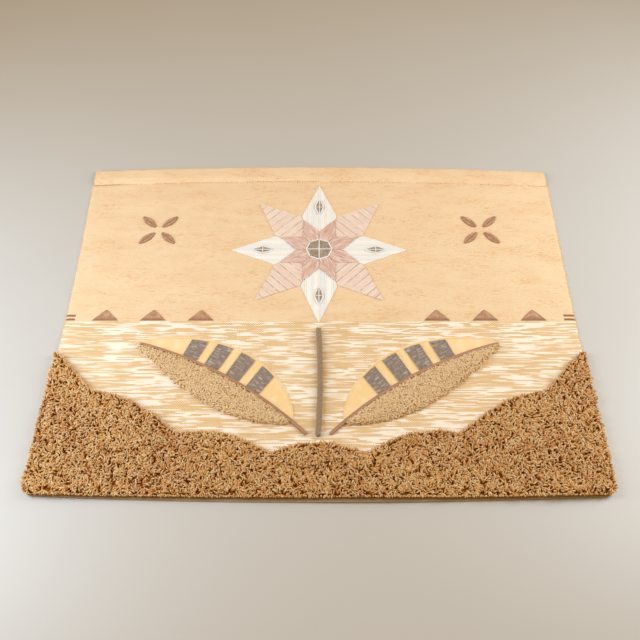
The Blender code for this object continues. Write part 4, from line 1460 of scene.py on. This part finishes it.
def coursed_patch(angle, base, own):
    """A rose patch: overlapping courses, each thicker and a little uneven at its outer edge."""
    diamond = Diamond(STAR_SIDE, STAR_HUB)
    far = diamond.end - 0.004

    def along_at(v):
        return STAR_HUB + (far - STAR_HUB) * v

    def across_at(u, v):
        return diamond.half_width(along_at(v)) * (2 * eased(u) - 1)

    def place(u, v):
        x, y = turned(along_at(v), across_at(u, v), STAR_CENTRE, angle)
        return x, y, base

    def rise(u, v):
        uneven = 0.0006 * wander(across_at(u, v), 0.045, 60 + own)
        up = (along_at(v) - STAR_HUB + uneven) / COURSE_PITCH % 1
        course = np.clip(up * 1.08, 0, 1) * COURSE_RISE
        return (PATCH_THICKNESS + course) * (0.55 + 0.45 * rolled(eased(u), 0.012))

    shape = new_shape()
    add_slab(
        shape, 18, 150, place, rise, lambda u, v: (across_at(u, v), along_at(v), own)
    )
    return shape


def plain_patch(angle, base, own):
    """A dusk patch of the inner star, with softly rolled edges."""
    diamond = Diamond(INNER_STAR_SIDE, INNER_STAR_HUB)
    far = diamond.end - 0.004

    def along_at(v):
        return INNER_STAR_HUB + (far - INNER_STAR_HUB) * v

    def across_at(u, v):
        return diamond.half_width(along_at(v)) * (2 * eased(u) - 1)

    def place(u, v):
        x, y = turned(along_at(v), across_at(u, v), STAR_CENTRE, angle)
        return x, y, base

    def rise(u, v):
        return PATCH_THICKNESS * (0.5 + 0.5 * rolled(eased(u), 0.05) * rolled(v, 0.02))

    shape = new_shape()
    add_slab(
        shape, 16, 44, place, rise, lambda u, v: (across_at(u, v), along_at(v), own)
    )
    return shape


def add_bar(shape, start, end, width, base, height):
    """Adds a narrow strip with a soft round top from one point to another."""
    start, end = np.array(start), np.array(end)
    run = end - start
    reach = math.hypot(*run)
    sideways = np.array((-run[1], run[0])) / reach

    def place(u, v):
        across = (u - 0.5) * width
        x = start[0] + run[0] * v + sideways[0] * across
        y = start[1] + run[1] * v + sideways[1] * across
        return x, y, base

    add_slab(
        shape, 6, max(4, round(reach / 0.004)), place,
        lambda u, v: height * (0.45 + 0.55 * rolled(u, 0.5) * rolled(v, 0.03)),
        lambda u, v: ((u - 0.5) * width, reach * v, 0.0),
    )


def pane(angle, base):
    """A taupe lozenge."""

    def along_at(v):
        return PANE_FROM_CENTRE + PANE_LENGTH * (v - 0.5)

    def across_at(u, v):
        from_tip = 1 - np.abs(2 * v - 1)
        half = PANE_WIDTH / 2 * (2 * PANE_TIP_SHARE + (1 - 2 * PANE_TIP_SHARE) * from_tip)
        return half * (2 * u - 1)

    def place(u, v):
        x, y = turned(along_at(v), across_at(u, v), STAR_CENTRE, angle)
        return x, y, base

    shape = new_shape()
    add_slab(
        shape, 8, 20, place, lambda u, v: PANE_THICKNESS * 0.6,
        lambda u, v: (across_at(u, v), along_at(v), 0.0),
    )
    return shape


def pane_frame(angle, base):
    """White strips round a pane, and two that cross on it."""
    look = bpy.context.scene.hanging_star
    half, tip, wide = PANE_LENGTH / 2, PANE_WIDTH * PANE_TIP_SHARE, PANE_WIDTH / 2

    def at(along, across):
        return turned(PANE_FROM_CENTRE + along, across, STAR_CENTRE, angle)

    corners = [(-half, -tip), (0, -wide), (half, -tip), (half, tip), (0, wide), (-half, tip)]
    shape = new_shape()
    for first, second in zip(corners, corners[1:] + corners[:1]):
        add_bar(shape, at(*first), at(*second), look.frame_width, base, PANE_THICKNESS)
    add_bar(shape, at(-half, 0), at(half, 0), look.frame_width * 0.7, base, PANE_THICKNESS)
    add_bar(shape, at(0, -wide), at(0, wide), look.frame_width * 0.7, base, PANE_THICKNESS)
    return shape


def octagon_corner(i):
    angle = math.tau * i / STAR_POINTS
    return (
        STAR_CENTRE[0] + CENTRE_RADIUS * math.cos(angle),
        STAR_CENTRE[1] + CENTRE_RADIUS * math.sin(angle),
    )


def octagon(base):
    """The eight-sided taupe piece over the star's middle."""
    half = math.pi / STAR_POINTS

    def place(u, v):
        angle = math.tau * u
        radius = CENTRE_RADIUS * math.cos(half) / np.cos(angle % (2 * half) - half)
        x = STAR_CENTRE[0] + radius * v * np.cos(angle)
        y = STAR_CENTRE[1] + radius * v * np.sin(angle)
        return x, y, base

    def lay(u, v):
        x, y, _ = place(u, v)
        return x - STAR_CENTRE[0], y - STAR_CENTRE[1], 0.0

    shape = new_shape()
    add_slab(shape, 48, 8, place, lambda u, v: PATCH_THICKNESS * 0.7 + 0 * u, lay)
    bmesh.ops.remove_doubles(shape, verts=shape.verts, dist=0.00002)
    loose = [face for face in shape.faces if face.calc_area() < 1e-12]
    bmesh.ops.delete(shape, geom=loose, context="FACES")
    return shape


def octagon_frame(base):
    """White strips round the middle piece, and four that cross on it."""
    look = bpy.context.scene.hanging_star
    shape = new_shape()
    for i in range(STAR_POINTS):
        add_bar(
            shape, octagon_corner(i), octagon_corner(i + 1), look.frame_width, base,
            PATCH_THICKNESS * 1.1,
        )
    for i in range(2):
        add_bar(
            shape, octagon_corner(2 * i), octagon_corner(2 * i + 4), look.frame_width * 0.8,
            base, PATCH_THICKNESS * 1.1,
        )
    return shape


class HANGING_OT_sew_star(bpy.types.Operator):
    """Sews the patchwork star: boarded white and coursed rose patches, and what lies on them"""

    bl_idname = "hanging.sew_star"
    bl_label = "Sew the star"

    def execute(self, context):
        first, second, third = layer_heights()
        white, rose, dusk = chalky_boards(), rose_courses(), dusk_brushwork()
        strip = strip_paint()
        linen = raw_linen("raw_taupe_linen", context.scene.hanging_star.taupe)
        step = math.tau / STAR_POINTS
        for i in range(STAR_POINTS):
            angle = math.pi / 2 + i * step
            n = i // 2 + 1
            if i % 2 == 0:
                patch = shown(
                    f"white_patch_{n}", battened_patch(angle, first, i), white,
                    [f"star_white_{n}"],
                )
                glass = shown(
                    f"pane_{n}", pane(angle, second), linen, [f"star_pane_{n}"]
                )
                shown(
                    f"pane_frame_{n}", pane_frame(angle, second), strip,
                    [f"star_pane_{n}"],
                )
                laid(glass)
            else:
                patch = shown(
                    f"rose_patch_{n}", coursed_patch(angle, first, i), rose,
                    [f"star_rose_{n}"], smooth_below=35,
                )
            laid(patch)
            inner = shown(
                f"dusk_patch_{i + 1}", plain_patch(angle + step / 2, second, i), dusk,
                [f"inner_star_{i + 1}"],
            )
            laid(inner)
        middle = shown("octagon", octagon(third), linen, ["star_centre"])
        shown("octagon_frame", octagon_frame(third), strip, ["star_centre"])
        laid(middle)
        return {"FINISHED"}


# The leaves


def on_leaf(side, share, across):
    """A point on a leaf: share runs from its base to its tip, and across is towards its top."""
    along = share * LEAF_LENGTH
    bend = LEAF_BEND * 4 * share * (1 - share)
    slope = np.arctan2(LEAF_BEND * 4 * (1 - 2 * share), LEAF_LENGTH)
    x, y = turned(
        along - across * np.sin(slope), bend + across * np.cos(slope), LEAF_BASE, LEAF_TURN
    )
    return side * x, y


def leaf_half_width(share):
    return LEAF_HALF_WIDTH * np.sin(np.pi * share**LEAF_FULLNESS) ** LEAF_BLUNTNESS


def leaf_share(t):
    return LEAF_START + (LEAF_END - LEAF_START) * eased(t)


PAD_INNER = -(MIDRIB_WIDTH / 2 + SEAM_GAP)


def pad_point(side, share, part):
    """A point on top of a padded half: part runs from the cord to the outer edge."""
    outer = -leaf_half_width(share)
    fill = np.clip(2 * (PAD_INNER - outer) / LEAF_HALF_WIDTH, 0, 1)
    x, y = on_leaf(side, share, PAD_INNER + (outer - PAD_INNER) * part)
    crown = np.clip(1 - (2 * part - 1) ** 2, 0, 1) ** PAD_ROUNDNESS
    uneven = 1 + 0.05 * wander(share * LEAF_LENGTH, 0.09, 71 + side) * crown
    height = PAD_EDGE + (PAD_HEIGHT - PAD_EDGE) * crown * np.sqrt(fill) * uneven
    return x, y, resting_on_cloth(x, y) + height


def leaf_pad(side):
    def place(u, v):
        x, y, _ = pad_point(side, leaf_share(v), eased(u))
        return x, y, resting_on_cloth(x, y)

    def rise(u, v):
        x, y, top = pad_point(side, leaf_share(v), eased(u))
        return top - resting_on_cloth(x, y)

    shape = new_shape()
    add_slab(shape, 26, 96, place, rise, lambda u, v: (u, v, 0.0))
    return shape


def pad_loops(side, word):
    """Short loops all over the padded half, lying every way, with their tips tucked in."""
    look = bpy.context.scene.hanging_leaf
    chance = np.random.default_rng(83 + side)
    tries = chance.uniform(0, 1, (look.loop_count * 3, 3))
    share = LEAF_START + (LEAF_END - LEAF_START) * tries[:, 0]
    wide_enough = tries[:, 1] < leaf_half_width(share) / LEAF_HALF_WIDTH
    share, part = share[wide_enough][: look.loop_count], tries[wide_enough, 2]
    part = 0.02 + 0.96 * part[: look.loop_count]
    root = stacked(pad_point(side, share, part))
    near = stacked(pad_point(side, share + 0.004, part)) - root
    over = stacked(pad_point(side, share, part + 0.02)) - root
    up = np.cross(near, over) * side
    up = up * np.sign(up[:, 2:3])
    up = up / np.linalg.norm(up, axis=1, keepdims=True)
    count = len(root)
    heading = chance.uniform(0, math.tau, count)
    flat = stacked((np.cos(heading), np.sin(heading), 0.0))
    forward = flat - up * (flat * up).sum(axis=1, keepdims=True)
    forward = forward / np.linalg.norm(forward, axis=1, keepdims=True)
    template = yarn_template(4, (0.33, 0.67), (0.8, 1.1, 1.1, 0.7))
    points = bent_copies(
        template, root - up * 0.0006, up, forward, chance.uniform(0.3, 0.8, count),
        chance.uniform(1.5, 2.4, count), look.loop_length * chance.uniform(0.7, 1.2, count),
        look.loop_radius * chance.uniform(0.8, 1.25, count), chance.uniform(0, 6.28, count),
    )
    lot = cloudy(root[:, 0], root[:, 1], 0.03, 17.0)
    return mesh_of_copies(
        f"pad_loops_{word}", template, points, chance.beta(1.5, 1.5, count), lot
    )


def leaf_strip(side, shares, inner, outer, lift_by, thickness, columns, rows):
    """A flat piece on the upper half of a leaf, between two edges given for each share."""

    def across_at(u, v):
        share = shares(v)
        return inner(share) + (outer(share) - inner(share)) * u

    def place(u, v):
        x, y = on_leaf(side, shares(v), across_at(u, v))
        return x, y, resting_on_cloth(x, y) + lift_by

    shape = new_shape()
    add_slab(
        shape, columns, rows, place, thickness,
        lambda u, v: (across_at(u, v), shares(v) * LEAF_LENGTH, 0.0),
    )
    return shape


def leaf_cloth(side):
    """The flat half: cloth with a low rolled hem along its outer edge."""

    def thickness(u, v):
        hem = np.clip(1 - np.abs(u - 0.965) / 0.035, 0, 1)
        slack = 0.0003 * wander(v * LEAF_LENGTH, 0.05, 91 + side) * np.sin(np.pi * u)
        return LEAF_CLOTH_THICKNESS * (0.62 + 0.38 * hem) + slack

    return leaf_strip(
        side, leaf_share, lambda s: MIDRIB_WIDTH / 2 + SEAM_GAP + 0 * s, leaf_half_width,
        0.0, thickness, 30, 90,
    )


def leaf_bar(side, index):
    """A taupe bar across the flat half, with raw, slightly ragged edges."""
    start = BAR_FIRST + index * BAR_PITCH
    inner = MIDRIB_WIDTH / 2 + BAR_CORD_MARGIN
    seed = 101 + index + 10 * side

    def shares(v):
        return start + BAR_PITCH * BAR_SHARE * v

    shape = leaf_strip(
        side, shares, lambda s: inner + 0.0006 * wander(s * LEAF_LENGTH, 0.006, seed),
        lambda s: leaf_half_width(s) - BAR_MARGIN + 0.0006 * wander(s * 0.44, 0.007, seed + 1),
        LEAF_CLOTH_THICKNESS + SEAM_GAP, lambda u, v: BAR_THICKNESS * 0.7 + 0 * u, 30, 22,
    )
    return shape


def bar_fringe(side, word):
    """Threads that have worked loose from the raw edges of a leaf's bars."""
    chance = np.random.default_rng(113 + side)
    roots, forward = [], []
    for index in range(BAR_COUNT):
        for edge, way in ((0.0, -1), (1.0, 1)):
            share = BAR_FIRST + index * BAR_PITCH + BAR_PITCH * BAR_SHARE * edge
            inner, outer = MIDRIB_WIDTH / 2 + 0.003, leaf_half_width(share) - BAR_MARGIN
            across = chance.uniform(inner, outer, 26)
            x, y = on_leaf(side, np.full(26, share), across)
            x2, y2 = on_leaf(side, np.full(26, share + 0.01 * way), across)
            ahead = stacked((x2 - x, y2 - y, 0.0))
            base = resting_on_cloth(x, y) + LEAF_CLOTH_THICKNESS + BAR_THICKNESS * 0.5
            roots.append(stacked((x, y, base)))
            forward.append(ahead / np.linalg.norm(ahead, axis=1, keepdims=True))
    roots, forward = np.concatenate(roots), np.concatenate(forward)
    count = len(roots)
    spin = chance.normal(0, 0.45, count)
    sideways = np.cross(np.array((0.0, 0.0, 1.0)), forward)
    forward = forward * np.cos(spin)[:, None] + sideways * np.sin(spin)[:, None]
    template = yarn_template(3, (0.5,), (1.0, 0.9, 0.4))
    points = bent_copies(
        template, roots - forward * 0.0008, np.array((0.0, 0.0, 1.0)), forward,
        chance.uniform(1.15, 1.4, count), chance.uniform(0.1, 0.7, count),
        chance.uniform(0.0016, 0.0040, count), 0.0004,
    )
    return mesh_of_copies(
        f"bar_fringe_{word}", template, points, chance.uniform(0, 1, count)
    )


def leaf_stitches(side, word):
    """A row of small stitches inside the flat half's outer edge."""
    chance = np.random.default_rng(127 + side)
    share = np.arange(0.05, 0.97, 0.011)
    across = leaf_half_width(share) - 0.0046
    x, y = on_leaf(side, share, across)
    x2, y2 = on_leaf(side, share + 0.005, leaf_half_width(share + 0.005) - 0.0046)
    ahead = stacked((x2 - x, y2 - y, 0.0))
    forward = ahead / np.linalg.norm(ahead, axis=1, keepdims=True)
    top = resting_on_cloth(x, y) + LEAF_CLOTH_THICKNESS * 0.72
    template = yarn_template(5, (0.5,), (0.6, 1.0, 0.6))
    points = bent_copies(
        template, stacked((x, y, top)), np.array((0.0, 0.0, 1.0)), forward, 1.25, 0.65,
        0.0028, 0.00042,
    )
    return mesh_of_copies(
        f"leaf_stitches_{word}", template, points, chance.uniform(0.2, 0.6, len(x)),
    )


def midrib(side):
    """The flat brown cord between a leaf's halves, which runs on below them as its stalk."""

    def place(u, v):
        share = MIDRIB_FROM + (MIDRIB_TO - MIDRIB_FROM) * v
        angle = math.tau * (u - 0.25)
        end = np.clip(np.minimum(v, 1 - v) / 0.008, 0, 1) ** 0.5
        c, s = np.cos(angle), np.sin(angle)
        across = MIDRIB_WIDTH / 2 * np.sign(c) * np.abs(c) ** 0.7 * (0.45 + 0.55 * end)
        x, y = on_leaf(side, share, across)
        rise = MIDRIB_HEIGHT / 2 * (1 + np.sign(s) * np.abs(s) ** 0.8 * (0.6 + 0.4 * end))
        dent = 0.0012 * np.exp(-((across / 0.0013) ** 2)) * np.maximum(s, 0)
        return x, y, resting_on_cloth(x, y) + np.maximum(0.0, rise - dent)

    def lay(u, v):
        across = MIDRIB_WIDTH / 2 * np.cos(math.tau * (u - 0.25))
        return across, v * LEAF_LENGTH * (MIDRIB_TO - MIDRIB_FROM), 0.0

    shape = new_shape()
    add_tube(shape, 20, 150, place, lay)
    return shape


class HANGING_OT_pad_leaves(bpy.types.Operator):
    """Stuffs the lower half of each leaf and covers it with short loops"""

    bl_idname = "hanging.pad_leaves"
    bl_label = "Pad the leaves"

    def execute(self, context):
        look = context.scene.hanging_leaf
        loops = piled_wool(
            "looped_wool_boucle", look.pile_dark, look.pile, look.pile, look.pile_light,
            0.35, 0.2, 6.0,
        )
        foot = felted_foot("sandy_loop_foot", look.pile_dark, look.pile, 3.0)
        for side, word in SIDES:
            node = f"leaf_pad_{word}"
            pad = shown(f"pad_{word}", leaf_pad(side), foot, [node])
            shown(f"pad_loops_{word}", pad_loops(side, word), loops, [node], 180)
        return {"FINISHED"}


class HANGING_OT_face_leaves(bpy.types.Operator):
    """Lays the flat half of each leaf with its bars, and the cord between the halves"""

    bl_idname = "hanging.face_leaves"
    bl_label = "Face the leaves"

    def execute(self, context):
        look = context.scene.hanging_leaf
        cloth_finish, suede = sateen(), suede_strip()
        linen = raw_linen("raw_grey_taupe_cloth", look.taupe)
        loose = tinted_thread("loose_taupe_thread", look.taupe, look.pile_light)
        thread = tinted_thread("tan_sewing_thread", look.pile_dark, look.cloth)
        for side, word in SIDES:
            flat_node = f"leaf_cloth_{word}"
            cloth = shown(
                f"flat_half_{word}", leaf_cloth(side), cloth_finish, [flat_node]
            )
            sewn = shown(
                f"leaf_stitches_{word}", leaf_stitches(side, word), thread,
                [flat_node],
            )
            for i in range(BAR_COUNT):
                bar_node = f"leaf_bar_{word}_{i + 1}"
                shown(
                        f"bar_{word}_{i + 1}", leaf_bar(side, i), linen,
                        [bar_node],
                    )
            nodes = [f"leaf_bar_{word}_{i + 1}" for i in range(BAR_COUNT)]
            fringe = shown(
                f"bar_fringe_{word}", bar_fringe(side, word), loose, nodes
            )
            shown(
                f"midrib_{word}", midrib(side), suede, [f"leaf_midrib_{word}"]
            )
        return {"FINISHED"}


# The stem


def stem_line(share):
    """The rope's middle line from foot to head, and where it rests."""
    sway = STEM_SWAY * np.sin(np.pi * share)
    x = STEM_FOOT[0] + (STEM_HEAD[0] - STEM_FOOT[0]) * share + sway
    y = STEM_FOOT[1] + (STEM_HEAD[1] - STEM_FOOT[1]) * share
    return x, y, resting_on_cloth(x, y) + STEM_RADIUS * STEM_SEAT


def add_strand(shape, turn):
    """Adds one of the rope's three strands, ridged by the yarns that twist the other way."""
    look = bpy.context.scene.hanging_rope
    run = STEM_HEAD[1] - STEM_FOOT[1]
    orbit = STEM_RADIUS - look.strand_radius

    def ends(v):
        return np.clip(np.minimum(v, 1 - v) * run / 0.004, 0.0, 1.0) ** 0.5

    def ridges(u, v):
        twist = math.tau * v * run / look.yarn_lay
        return np.abs(np.cos(2.5 * (math.tau * u + twist)))

    def place(u, v):
        x, y, z = stem_line(v)
        angle = turn - math.tau * v * run / look.lay
        closed = 0.25 + 0.75 * ends(v)
        radius = look.strand_radius * (0.88 + 0.12 * ridges(u, v)) * closed
        x = x + orbit * np.cos(angle) + radius * np.cos(math.tau * u)
        z = z + orbit * np.sin(angle) + radius * np.sin(math.tau * u)
        return x, y, np.maximum(z, resting_on_cloth(x, y))

    def lay(u, v):
        return u * math.tau * look.strand_radius, v * run, ridges(u, v)

    add_tube(shape, 20, 230, place, lay)


def rope_fibres():
    """Fibres that stand off the rope."""
    chance = np.random.default_rng(139)
    count = 420
    share = chance.uniform(0.02, 0.98, count)
    x, y, z = stem_line(share)
    angle = chance.uniform(-0.4, math.pi + 0.4, count)
    up = stacked((np.cos(angle), 0.0, np.sin(angle)))
    roots = stacked((x, y, z)) + up * STEM_RADIUS * 0.85
    along = stacked((0.0, np.sign(chance.uniform(-1, 1, count)), 0.0))
    template = yarn_template(3, (0.5,), (1.0, 0.9, 0.4))
    points = bent_copies(
        template, roots, up, along, chance.uniform(0.5, 1.2, count),
        chance.uniform(-0.4, 0.9, count), chance.uniform(0.003, 0.008, count), 0.00014,
    )
    return mesh_of_copies(
        "rope_fibres", template, points, chance.uniform(0, 1, count)
    )


class HANGING_OT_lay_rope(bpy.types.Operator):
    """Twists three strands into the stem's rope"""

    bl_idname = "hanging.lay_rope"
    bl_label = "Lay the rope"

    def execute(self, context):
        look = context.scene.hanging_rope
        shape = new_shape()
        for i in range(3):
            add_strand(shape, math.tau * i / 3)
        shown("stem", shape, laid_rope(), ["stem_rope"], smooth_below=70)
        fibre = tinted_thread("loose_bast_fibre", look.fibre, look.light)
        shown("rope_fibres", rope_fibres(), fibre, ["stem_rope"])
        return {"FINISHED"}


# The small felt pieces


def petal(centre, angle):
    """An almond of felt with a seam pressed along its middle."""
    middle = turned(PETAL_FROM_CENTRE, 0.0, centre, angle)
    base = resting_on_cloth(*middle)

    def half_at(v):
        share = PETAL_TIP + (1 - 2 * PETAL_TIP) * eased(v)
        return PETAL_WIDTH / 2 * np.sin(np.pi * share) ** PETAL_BLUNTNESS

    def along_at(v):
        return (PETAL_TIP + (1 - 2 * PETAL_TIP) * eased(v) - 0.5) * PETAL_LENGTH

    def across_at(u, v):
        return half_at(v) * (2 * eased(u) - 1)

    def place(u, v):
        x, y = turned(along_at(v), across_at(u, v), middle, angle)
        return x, y, base

    def rise(u, v):
        c = np.abs(2 * eased(u) - 1)
        side = PETAL_SIDE_SHARE + (1 - PETAL_SIDE_SHARE) * np.sqrt(np.clip(1 - c**3, 0, 1))
        groove = PETAL_GROOVE * np.exp(-((c / 0.14) ** 2))
        return (PETAL_THICKNESS * side - groove) * (0.6 + 0.4 * rolled(v, 0.12))

    def lay(u, v):
        c = np.abs(2 * eased(u) - 1)
        # Painted shade in the groove down the middle and along the rolled edges.
        pressed = np.maximum(np.exp(-((c / 0.13) ** 2)), 0.75 * np.clip((c - 0.82) / 0.18, 0, 1))
        return across_at(u, v) + 10 * angle, along_at(v), pressed

    shape = new_shape()
    add_slab(shape, 22, 26, place, rise, lay)
    return shape


def triangle(x):
    """A felt triangle with soft edges, and a line of painted shade along its foot."""
    base = resting_on_cloth(x, TRIANGLE_Y + TRIANGLE_HEIGHT / 3)

    def place(u, v):
        narrowing = 1 - v * 0.97
        bulge = 0.0012 * np.sin(np.pi * v)
        across = (TRIANGLE_WIDTH / 2 * narrowing + bulge) * (2 * eased(u) - 1)
        return x + across, TRIANGLE_Y + TRIANGLE_HEIGHT * v, base

    def rise(u, v):
        rim = rolled(eased(u), 0.08) * rolled(v, 0.10)
        return TRIANGLE_THICKNESS * (0.5 + 0.5 * rim)

    def lay(u, v):
        # Painted shade in a line along the foot; the felt is not dented there.
        pressed = np.exp(-(((v - 0.10) / 0.06) ** 2))
        return (2 * u - 1) * TRIANGLE_WIDTH / 2 + x, v * TRIANGLE_HEIGHT, pressed

    shape = new_shape()
    add_slab(shape, 24, 16, place, rise, lay)
    return shape


def triangle_stitches():
    """Pale running stitches along the foot of each triangle."""
    chance = np.random.default_rng(149)
    step = 0.0042
    one = np.arange(-TRIANGLE_WIDTH / 2 + 0.006, TRIANGLE_WIDTH / 2 - 0.006, step)
    x = np.concatenate([side * near + one for side, _ in SIDES for near in TRIANGLE_XS])
    y = np.full_like(x, TRIANGLE_Y + 0.0036)
    top = resting_on_cloth(x, y) + TRIANGLE_THICKNESS
    template = yarn_template(5, (0.5,), (0.6, 1.0, 0.6))
    points = bent_copies(
        template, stacked((x, y, top)), np.array((0.0, 0.0, 1.0)), np.array((1.0, 0.0, 0.0)),
        1.2, 0.75, 0.0027, 0.0005,
    )
    return mesh_of_copies(
        "triangle_stitches", template, points, chance.uniform(0, 1, len(x))
    )


class HANGING_OT_cut_felt(bpy.types.Operator):
    """Cuts the blossoms' petals and the triangles from felt, and sews them down"""

    bl_idname = "hanging.cut_felt"
    bl_label = "Cut the felt pieces"

    def execute(self, context):
        look = context.scene.hanging_felt
        felt = wool_felt()
        for side, word in SIDES:
            for i in range(PETAL_COUNT):
                angle = math.pi / 4 + i * math.tau / PETAL_COUNT
                piece = shown(
                    f"felt_petal_{word}_{i + 1}", petal((side * BLOSSOM_X, BLOSSOM_Y), angle),
                    felt, [f"petal_{word}_{i + 1}"],
                )
                laid(piece)
            for i, x in enumerate(TRIANGLE_XS):
                piece = shown(
                    f"felt_triangle_{word}_{i + 1}", triangle(side * x), felt,
                    [f"triangle_{word}_{i + 1}"],
                )
                laid(piece)
        nodes = [f"triangle_{word}_{i + 1}" for _, word in SIDES for i in range(3)]
        thread = tinted_thread("pale_running_stitch", look.felt, look.stitch)
        shown("triangle_stitches", triangle_stitches(), thread, nodes)
        return {"FINISHED"}


# The stage

CAMERA_PLACE = Vector((0.014, -1.0874, 1.5892))
CAMERA_PITCH = math.radians(56.254)
CAMERA_YAW = math.radians(-0.626)
CAMERA_ROLL = math.radians(-0.527)
FOCAL_PIXELS = 764.5
IMAGE_PIXELS = 640
SENSOR_MM = 36.0


def camera_matrix():
    """The camera's place and turn: pitched down to the hanging, nearly level and square on."""
    p, w, r = CAMERA_PITCH, CAMERA_YAW, CAMERA_ROLL
    ahead = Vector(
        (math.sin(w) * math.cos(p), math.cos(w) * math.cos(p), -math.sin(p))
    )
    level = Vector((math.cos(w), -math.sin(w), 0))
    over = level.cross(ahead)
    right = math.cos(r) * level + math.sin(r) * over
    up = math.cos(r) * over - math.sin(r) * level
    turn = Matrix((right, up, -ahead)).transposed().to_4x4()
    return Matrix.Translation(CAMERA_PLACE) @ turn


class HANGING_OT_set_stage(bpy.types.Operator):
    """Sets the pale floor, the soft light and the camera"""

    bl_idname = "hanging.set_stage"
    bl_label = "Set the stage"

    def execute(self, context):
        look = context.scene.hanging_stage
        shape = bmesh.new()
        bmesh.ops.create_grid(shape, x_segments=8, y_segments=8, size=6)
        bmesh.ops.translate(shape, verts=shape.verts, vec=(0, 0, -0.0005))
        mesh = bpy.data.meshes.new("floor")
        shape.to_mesh(mesh)
        shape.free()
        mesh.materials.append(matte_floor())
        floor = bpy.data.objects.new("floor", mesh)
        context.scene.collection.objects.link(floor)

        world = bpy.data.worlds.new("soft_studio")
        world.use_nodes = True
        sky = world.node_tree.nodes["Background"]
        sky.inputs["Color"].default_value = (*look.sky, 1.0)
        sky.inputs["Strength"].default_value = look.sky_strength
        context.scene.world = world

        for name, place, light, energy in (
            ("left_softbox", (-1.5, -0.3, 1.05), look.left_light, look.left_power),
            ("right_softbox", (1.7, 0.2, 1.2), look.right_light, look.right_power),
        ):
            softbox = bpy.data.lights.new(name, "AREA")
            softbox.shape = "RECTANGLE"
            softbox.size, softbox.size_y = 0.7, 1.8
            softbox.energy = energy
            softbox.color = light
            lamp = bpy.data.objects.new(name, softbox)
            lamp.location = place
            aim = Vector((0.0, 0.1, 0.0)) - lamp.location
            lamp.rotation_euler = aim.to_track_quat("-Z", "Y").to_euler()
            context.scene.collection.objects.link(lamp)

        camera = bpy.data.cameras.new("camera")
        camera.sensor_width = SENSOR_MM
        camera.lens = FOCAL_PIXELS / IMAGE_PIXELS * SENSOR_MM
        viewer = bpy.data.objects.new("camera", camera)
        viewer.matrix_world = camera_matrix()
        context.scene.collection.objects.link(viewer)
        context.scene.camera = viewer
        context.scene.view_settings.view_transform = "Standard"
        return {"FINISHED"}


OPERATORS = (
    HANGING_OT_weave_ground,
    HANGING_OT_turn_sleeve,
    HANGING_OT_tuft_pile,
    HANGING_OT_sew_star,
    HANGING_OT_pad_leaves,
    HANGING_OT_face_leaves,
    HANGING_OT_lay_rope,
    HANGING_OT_cut_felt,
    HANGING_OT_set_stage,
)


class HANGING_PT_pieces(bpy.types.Panel):
    """Lists the steps that make the hanging, and its sizes and colours"""

    bl_label = "Wall hanging"
    bl_idname = "HANGING_PT_pieces"
    bl_space_type = "VIEW_3D"
    bl_region_type = "UI"
    bl_category = "Hanging"

    def draw(self, context):
        for operator in OPERATORS:
            self.layout.operator(operator.bl_idname)
        for name, group in SETTINGS:
            box = self.layout.box()
            for key in group.__annotations__:
                box.prop(getattr(context.scene, name), key)


def register():
    for name, group in SETTINGS:
        bpy.utils.register_class(group)
        setattr(bpy.types.Scene, name, PointerProperty(type=group))
    for operator in OPERATORS:
        bpy.utils.register_class(operator)
    bpy.utils.register_class(HANGING_PT_pieces)


def unregister():
    bpy.utils.unregister_class(HANGING_PT_pieces)
    for operator in reversed(OPERATORS):
        bpy.utils.unregister_class(operator)
    for name, group in reversed(SETTINGS):
        delattr(bpy.types.Scene, name)
        bpy.utils.unregister_class(group)


def main():
    register()
    bpy.ops.hanging.weave_ground()
    bpy.ops.hanging.turn_sleeve()
    bpy.ops.hanging.tuft_pile()
    bpy.ops.hanging.sew_star()
    bpy.ops.hanging.pad_leaves()
    bpy.ops.hanging.face_leaves()
    bpy.ops.hanging.lay_rope()
    bpy.ops.hanging.cut_felt()
    bpy.ops.hanging.set_stage()


if __name__ == "__main__":
    main()
